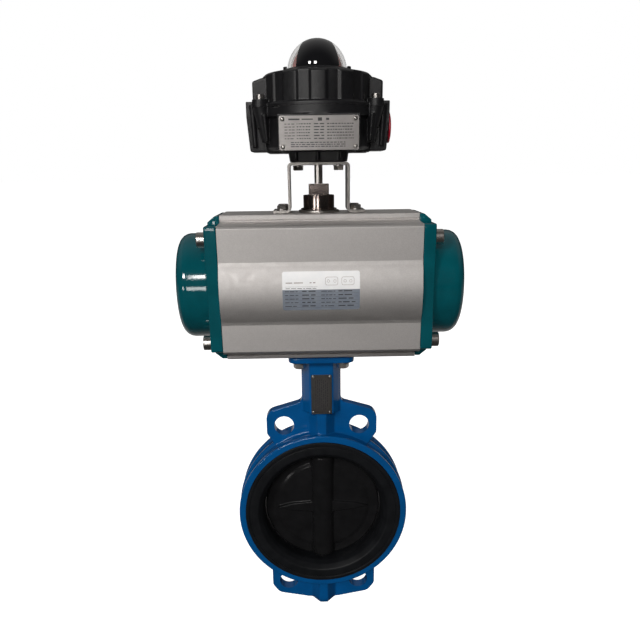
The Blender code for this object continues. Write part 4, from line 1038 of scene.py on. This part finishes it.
def make_housing():
    """The lower casting: a pot with conduit hubs, bolt towers that fade into it and a base boss."""
    floor, inside = BOX_BASE + 11.0, BOX_BASE + 13.6
    split = BOX_SPLIT - 0.3
    rough_top = split + 3
    flange_low = split - 9.2
    pot_r, hub_z = 58, 450
    pot = lathe("switch_pot", [(0, rough_top), (61, rough_top), (61, flange_low), (pot_r, flange_low - 1.6),
        (pot_r - 0.6, floor + 3), (pot_r - 4, floor), (0, floor)], COAT_BLACK, steps=128)
    parts = []
    for side in (LEFT, RIGHT):
        hub = [(50, hub_z - 23.6), (HUB_END - 2.6, hub_z - 23.6, 2), (HUB_END, hub_z + 10),
            (HUB_END, hub_z + 25.0), (50, hub_z + 25.0)]
        shape = prism(f"hub_{side}", rounded([(side * x, *rest) for x, *rest in hub]), -21.5, 21.5, None, "Y")
        parts.append(tapered(shape, lambda co: co.z < hub_z, factor_y=0.86))
        # A rib runs down the front and the back of each hub block.
        for y in (-1, 1):
            rib = rod(f"hub_rib_{side}_{y}", 3.0, hub_z - 19, rough_top, "Z", (side * 68.0, y * 20.5, 0), 24)
            parts.append(tapered(rib, lambda co: co.z < hub_z, 0.6, 0.6, (side * 63.0, y * 17)))
    for i, (x, y, _) in enumerate(cover_bolt_places()):
        tower = rod(f"tower_{i}", 9.0, floor + 8, rough_top, "Z", (x, y, 0), 48)
        parts.append(tapered(tower, lambda co: co.z < floor + 20, 0.45, 0.45, (x * 0.86, y * 0.86)))
        spine = rod(f"spine_{i}", 2.2, floor + 10, flange_low + 2, "Z", (x * 0.93, y * 1.26, 0), 24)
        parts.append(tapered(spine, lambda co: co.z < floor + 20, 0.6, 0.6, (x * 0.85, y * 1.1)))
    pad_x = 40.8
    parts.append(block("plate_pad", (-pad_x, PAD_FACE, floor + 0.6), (pad_x, -30, flange_low + 1)))
    boss = plate(30.3, 26, 6, 6)
    foot = prism("base_boss", boss, BOX_BASE, floor + 1)
    parts.append(tapered(foot, lambda co: co.z > floor, 1.06, 1.03))
    parts += rods("boss_rib", 1.9, BOX_BASE + 1.5, floor, [(x, -26.2, 0) for x in (-24, -1, 23)], 16)
    feet = [(x, y, 0) for x in (-47, -33, 33, 47) for y in (-16, 16)]
    parts += rods("foot", 7, floor - 2.0, floor + 4, feet, 32)
    as_cast(heap(pot, *parts), 0.62, 5, 0.45)
    reach = LID_REACH + 0.6
    tools = [block("lid_space", (-reach, -90, split), (reach, 90, 550)),
        block("above_hubs", (-200, -90, hub_z + 24.9), (200, 90, 560)),
        rod("cavity", 48, inside, 490, steps=96), rod("conduits", 13, -100, 100, "X", (0, 0, hub_z), 64),
        rod("shaft_hole", 5.1, 400, 450, steps=32), pry_notch(split - 1.3, split + 1)]
    tools += rods("thread", 3.2, 410, floor + 0.5, [(s * 22, 0, 0) for s in (LEFT, RIGHT)], 24)
    tools += rods("tower_hole", 3, 448, 480, cover_bolt_places(), 24)
    cut(pot, *tools)
    join(pot, block("stand", (-12, 35.5, inside - 1), (12, 50, split - 1)))
    settle(shade(pot, 40), "valve_frame", "switch_housing", slot="black_paint")


def fluted(radius, lobe, half_width, count=12, steps=30):
    """A round outline with shallow lobes, one of them at the front."""
    points = []
    total = count * steps
    for i in range(total):
        angle = 2 * math.pi * i / total - math.pi / 2
        off = abs((i + steps / 2) % steps - steps / 2) / steps * 2 * math.pi / count * radius
        edge = max(0.0, min(1.0, (half_width + 1.6 - off) / 3.2))
        rise = lobe * edge * edge * (3 - 2 * edge)
        points.append(((radius + rise) * math.cos(angle), (radius + rise) * math.sin(angle)))
    return points


def make_cover():
    """The lid: a fluted wall, a sloping crown, a dome collar, side lobes and four bolt ears."""
    foot = BOX_SPLIT
    below = foot - 3  # trimmed off later, so that the lower edge stays sharp
    edge, crown, collar_r = 500.2, COLLAR_TOP - 3.9, 34
    rim = COLLAR_TOP - 2.7
    wall = prism("switch_lid", fluted(55.0, 2.2, 8.0), foot + 2, edge + 12, COAT_BLACK)
    roof = lathe("roof", [(0, crown), (collar_r, crown), (54.5, edge + 1.2, 1.2), (57.4, edge - 1.0),
        (57.4, foot - 5), (0, foot - 5)], steps=128)
    combine(wall, [roof], "INTERSECT")
    collar = lathe("collar", [(collar_r, rim, 0.8), (collar_r + 0.8, crown - 3), (20, crown - 3), (20, rim)],
        steps=96, ring=True)
    skirt = lathe("skirt", [(0, below), (61, below), (61, foot + 3.4, 0.8), (55, foot + 4.2),
        (0, foot + 4.2)], steps=128)
    bumps = [(side * 31.0, 0, 0) for side in (LEFT, RIGHT)]
    parts = [collar, skirt, *rods("collar_bump", 4.4, crown - 4, COLLAR_TOP + 0.4, bumps, 32)]
    shoulder = [(40, below), (LID_REACH, below), (LID_REACH, edge - 5.8, 2.5), (58, edge - 2.6, 4),
        (52, edge - 1.8), (40, edge - 1.8)]
    for side in (LEFT, RIGHT):
        outline = rounded([(side * x, *rest) for x, *rest in shoulder], 8)
        lobe = soften(prism(f"lobe_{side}", outline, -17.5, 17.5, None, "Y"), 1.6, 3, 50)
        near = [place for place in cover_bolt_places() if place[0] * side > 0]
        parts.append(cut(lobe, *rods("pocket", 6.2, EAR_TOP, 530, near, 48)))
    parts += rods("ear", 8.3, below, EAR_TOP, cover_bolt_places(), 48)
    as_cast(heap(wall, *parts), 0.62, 4, 0.45)
    under = block("under", (-100, -100, 400), (100, 100, foot + 0.02))
    shelf = DOME_BASE - 0.3
    inside = lathe("inside", [(0, 499), (30, 499), (48, 493.5), (48, 460), (0, 460)], steps=96)
    cut(wall, under, inside, rod("opening", 27.6, 490, 530, steps=96), pry_notch(foot - 1, foot + 1.0),
        rod("dome_seat", DOME_R + 0.6, shelf, 530, steps=96),
        *rods("ear_hole", 3, 460, 490, cover_bolt_places(), 24))
    settle(shade(wall, 40), "valve_frame", "switch_cover", slot="black_paint")


def make_cover_bolts():
    shape = socket_head("cover_bolt", 4.3, 4.5, 2.5, 24, 2.5)
    places = [("cover_bolt_" + name, (x, y, EAR_TOP + 0.3), (0, 0, 0))
        for name, (x, y, _) in zip(CORNER_NAMES, cover_bolt_places())]
    copies(shape, STAINLESS, "valve_frame", "stainless", places)


def make_indicator():
    """The clear dome with its black band, and the red rotor under it."""
    mid = DOME_BASE + 0.5
    outer = [(r, mid + z) for r, z in arc((0, 0), DOME_R, 90, 0, 40)]
    inner_r = DOME_R - 3.2
    inner = [(r, mid + z) for r, z in arc((0, 0), inner_r, 0, 90, 40)]
    outer[0], inner[-1] = (0.0, DOME_TOP), (0.0, mid + inner_r)
    dome = lathe("fine_dome", outer + [(DOME_R, DOME_BASE), (inner_r, DOME_BASE)] + inner, DOME, steps=128)
    settle(shade(dome, 40), "valve_frame", "indicator_dome", slot="clear_plastic")
    rotor_r, floor = high("indicator_rotor", 0), low("indicator_rotor", 2)
    shell = [(r, mid + z) for r, z in arc((0, 0), rotor_r, 90, 0, 32)]
    shell[0] = (0.0, mid + rotor_r)
    shell += [(rotor_r, floor), (rotor_r - 2, floor), (rotor_r - 2, floor + 4), (0, floor + 4)]
    rotor = lathe("fine_rotor", shell, RED, steps=96)
    cut(rotor, rod("rotor_bore", 4.8, 490, 511, steps=32))
    settle(shade(rotor, 40), "indicator_shaft", "indicator_rotor", slot="red_plastic")


def make_plug():
    """The red transit plug in the right conduit entry, with a coin slot in its face."""
    node = "conduit_plug"
    start, end, outer = low(node, 0), high(node, 0), high(node, 1)
    rim = end - 2.5
    plug = lathe("fine_plug", [(0, end), (outer - 3.5, end, 0.8), (outer, end - 0.9, 0.8), (outer, rim, 0.3),
        (12.1, rim), (12.1, start, 0.8), (0, start)], RED, "X", 96, at=(0, 0, middle(node, 2)))
    slot = block("slot", (end - 1.1, -9, middle(node, 2) - 1.2), (end + 1, 9, middle(node, 2) + 1.2))
    settle(shade(cut(plug, slot), 35), "valve_frame", node, slot="red_plastic")


def make_switch_plate():
    """The brushed plate on the switch box: a heading, a grid of dashes and a screw at each corner."""
    front, wide, tall, mid = face_plate("switch_plate", "switch_nameplate", 1.8, ETCHED)
    chance = random.Random(3)
    rows = [(-30, -19, 11.8, 13.2), (-17, -6, 12, 13), (-1, 3, 11, 14), (7, 10, 11.6, 13.6)]
    for line in range(6):
        print_row(rows, chance, 7.9 - 2.7 * line, (-34, -24, 1.5, 4, 0.8, 0.7), (-22, -8, 0.8, 2.2, 0.7, 0.9),
            (-5, 5, 2.5, 6, 0.9, 0.9), (8, 34, 0.8, 2.4, 0.7, 0.9))
    for line in range(3):
        print_row(rows, chance, -9.2 - 1.9 * line, (-28, 26, 1.2, 4.4, 0.7, 0.8))
    rows = [(x0, x1, mid + z0, mid + z1) for x0, x1, z0, z1 in rows]
    settle(marks("switch_plate_rows", rows, 0.04, front, INK), "valve_frame", slot="stainless")
    plate_screws("switch_plate_screw", (2.1, 1.3, 0.25), wide - 3.6, tall - 3.2, front, mid)


# ---- CAD nodes that stay -----------------------------------------------------------------

def finish_hidden_works():
    """The internals keep their CAD shape and take a finish each."""
    finishes = {STAINLESS: ("valve_stem", "switch_shaft"), BRONZE: ("stem_bush_upper", "stem_bush_lower"),
        RUBBER: ("stem_seal", "piston_seal_left", "piston_seal_right"),
        STEEL: ("stem_retaining_ring", "stop_cam"), ALUMINIUM: ("piston_left", "piston_right"),
        NYLON: ("pinion_bush_top", "pinion_bush_bottom"), RED: ("cam_closed", "cam_open"),
        SWITCH: ("limit_switch_closed", "limit_switch_open")}
    for finish, nodes in finishes.items():
        for node in nodes:
            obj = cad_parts[node]
            obj.data.materials.clear()
            obj.data.materials.append(finish)


# ---- studio ------------------------------------------------------------------------------

def grow(tree, kind, *inputs, **settings):
    """Adds a node, links or sets its first inputs, and gives its outputs."""
    made = tree.nodes.new("ShaderNode" + kind)
    for key, value in settings.items():
        setattr(made, key, value)
    for socket, value in zip(made.inputs, inputs):
        if isinstance(value, bpy.types.NodeSocket):
            tree.links.new(value, socket)
        else:
            socket.default_value = value
    return made.outputs


def bare_tree(owner):
    owner.use_nodes = True
    owner.node_tree.nodes.clear()
    return owner.node_tree


def place_in(tree, kind):
    return grow(tree, "SeparateXYZ", grow(tree, "TexCoord")[kind])


def looked_at(tree):
    """1 for what the camera sees, either directly or through clear plastic."""
    path = grow(tree, "LightPath")
    return grow(tree, "Math", path["Is Camera Ray"], path["Is Transmission Ray"], operation="MAXIMUM")[0]


def make_floor():
    """A pale floor that is as bright as the backdrop, but throws little light up at the object."""
    size = 40 / MM
    floor = block("floor", (-size, -size, -20), (size, size, 0))
    material = bpy.data.materials.new("pale_floor")
    tree = bare_tree(material)
    tone = grow(tree, "MapRange", place_in(tree, "Object")["Y"], 0.05, 0.40, 0.055, 0.75)[0]
    unseen = grow(tree, "BsdfDiffuse", tone)[0]
    pale = grow(tree, "BsdfDiffuse", (0.55, 0.55, 0.55, 1))[0]
    glow = grow(tree, "Emission", (1, 1, 1, 1), 1.0)[0]
    seen = grow(tree, "AddShader", pale, glow)[0]
    grow(tree, "OutputMaterial", grow(tree, "MixShader", looked_at(tree), unseen, seen)[0])
    floor.data.materials.append(material)


def make_world():
    """White behind the camera's view of the object, and a room that is darker in front and below."""
    world = bpy.data.worlds.new("studio")
    tree = bare_tree(world)
    axes = place_in(tree, "Generated")
    behind = grow(tree, "MapRange", axes["Y"], -0.60, 0.35, 0.0, 0.22, interpolation_type="SMOOTHSTEP")[0]
    above = grow(tree, "MapRange", axes["Z"], 0.15, 0.55, 0.0, 1.0, interpolation_type="SMOOTHSTEP")[0]
    strength = grow(tree, "Math", behind, above, 0.03, operation="MULTIPLY_ADD")[0]
    room = grow(tree, "Background", (1.0, 0.985, 0.97, 1), strength)[0]
    backdrop = grow(tree, "Background", (1, 1, 1, 1))[0]
    grow(tree, "OutputWorld", grow(tree, "MixShader", looked_at(tree), room, backdrop)[0])
    bpy.context.scene.world = world


def add_light(name, azimuth, elevation, distance, width, height, power):
    """An area light on a sphere about the object's middle. Azimuth 0 is in front, positive to the right."""
    light = bpy.data.lights.new(name, "AREA")
    light.shape = "RECTANGLE"
    light.size, light.size_y = width, height
    light.energy = power
    light.color = (1, 0.98, 0.96)
    obj = new_object(name, light)
    a, e = math.radians(azimuth), math.radians(elevation)
    target = Vector((0, 0, BORE + ACT_MID * 0.8)) * MM
    towards = Vector((math.sin(a) * math.cos(e), -math.cos(a) * math.cos(e), math.sin(e)))
    obj.location = target + distance * towards
    obj.rotation_euler = (target - obj.location).to_track_quat("-Z", "Y").to_euler()
    return obj


def make_lights():
    add_light("window_far", -31, 26.5, 6.0, 0.80, 0.90, 74)
    add_light("window_near", -8, 27, 6.0, 0.90, 0.90, 74)
    add_light("low_far", -34, 2.3, 6.0, 0.80, 0.70, 23)
    add_light("low_near", -8.5, 2.3, 6.0, 0.90, 0.70, 23)
    # The soft fill lights the paint and the label without showing as a reflection.
    add_light("fill", -5, 22, 2.5, 2.4, 1.6, 26).visible_glossy = False
    add_light("back_fill", 165, 20, 3.0, 2.4, 1.6, 22).visible_glossy = False


CAMERA_PLACE = (-14.2 * MM, -741.7 * MM, 546.1 * MM)
CAMERA_PITCH, CAMERA_YAW, CAMERA_ROLL = 0.3202, 0.0174, -0.0131  # radians: down, right, anticlockwise
CAMERA_LENS, CAMERA_RISE = 36.28, 0.0991


def make_camera():
    data = bpy.data.cameras.new("camera")
    data.lens = CAMERA_LENS
    data.sensor_width = 36.0
    data.shift_y = CAMERA_RISE
    data.clip_start, data.clip_end = 0.05, 200.0
    camera = new_object("camera", data)
    aim = Matrix.Rotation(-CAMERA_YAW, 4, "Z") @ Matrix.Rotation(math.pi / 2 - CAMERA_PITCH, 4, "X")
    camera.matrix_world = Matrix.Translation(CAMERA_PLACE) @ aim @ Matrix.Rotation(CAMERA_ROLL, 4, "Z")
    bpy.context.scene.camera = camera
    bpy.context.scene.view_settings.view_transform = "Standard"


for make in (make_casting, make_seat, make_disc, make_flange_bolts, make_neck_plate, make_extrusion,
        make_label, make_end_caps, make_cap_screws, make_pinion, make_pinion_rings, make_stops, make_bracket,
        make_bracket_bolts, make_housing, make_cover, make_cover_bolts, make_indicator, make_plug,
        make_switch_plate, finish_hidden_works, make_floor, make_world, make_lights, make_camera):
    make()
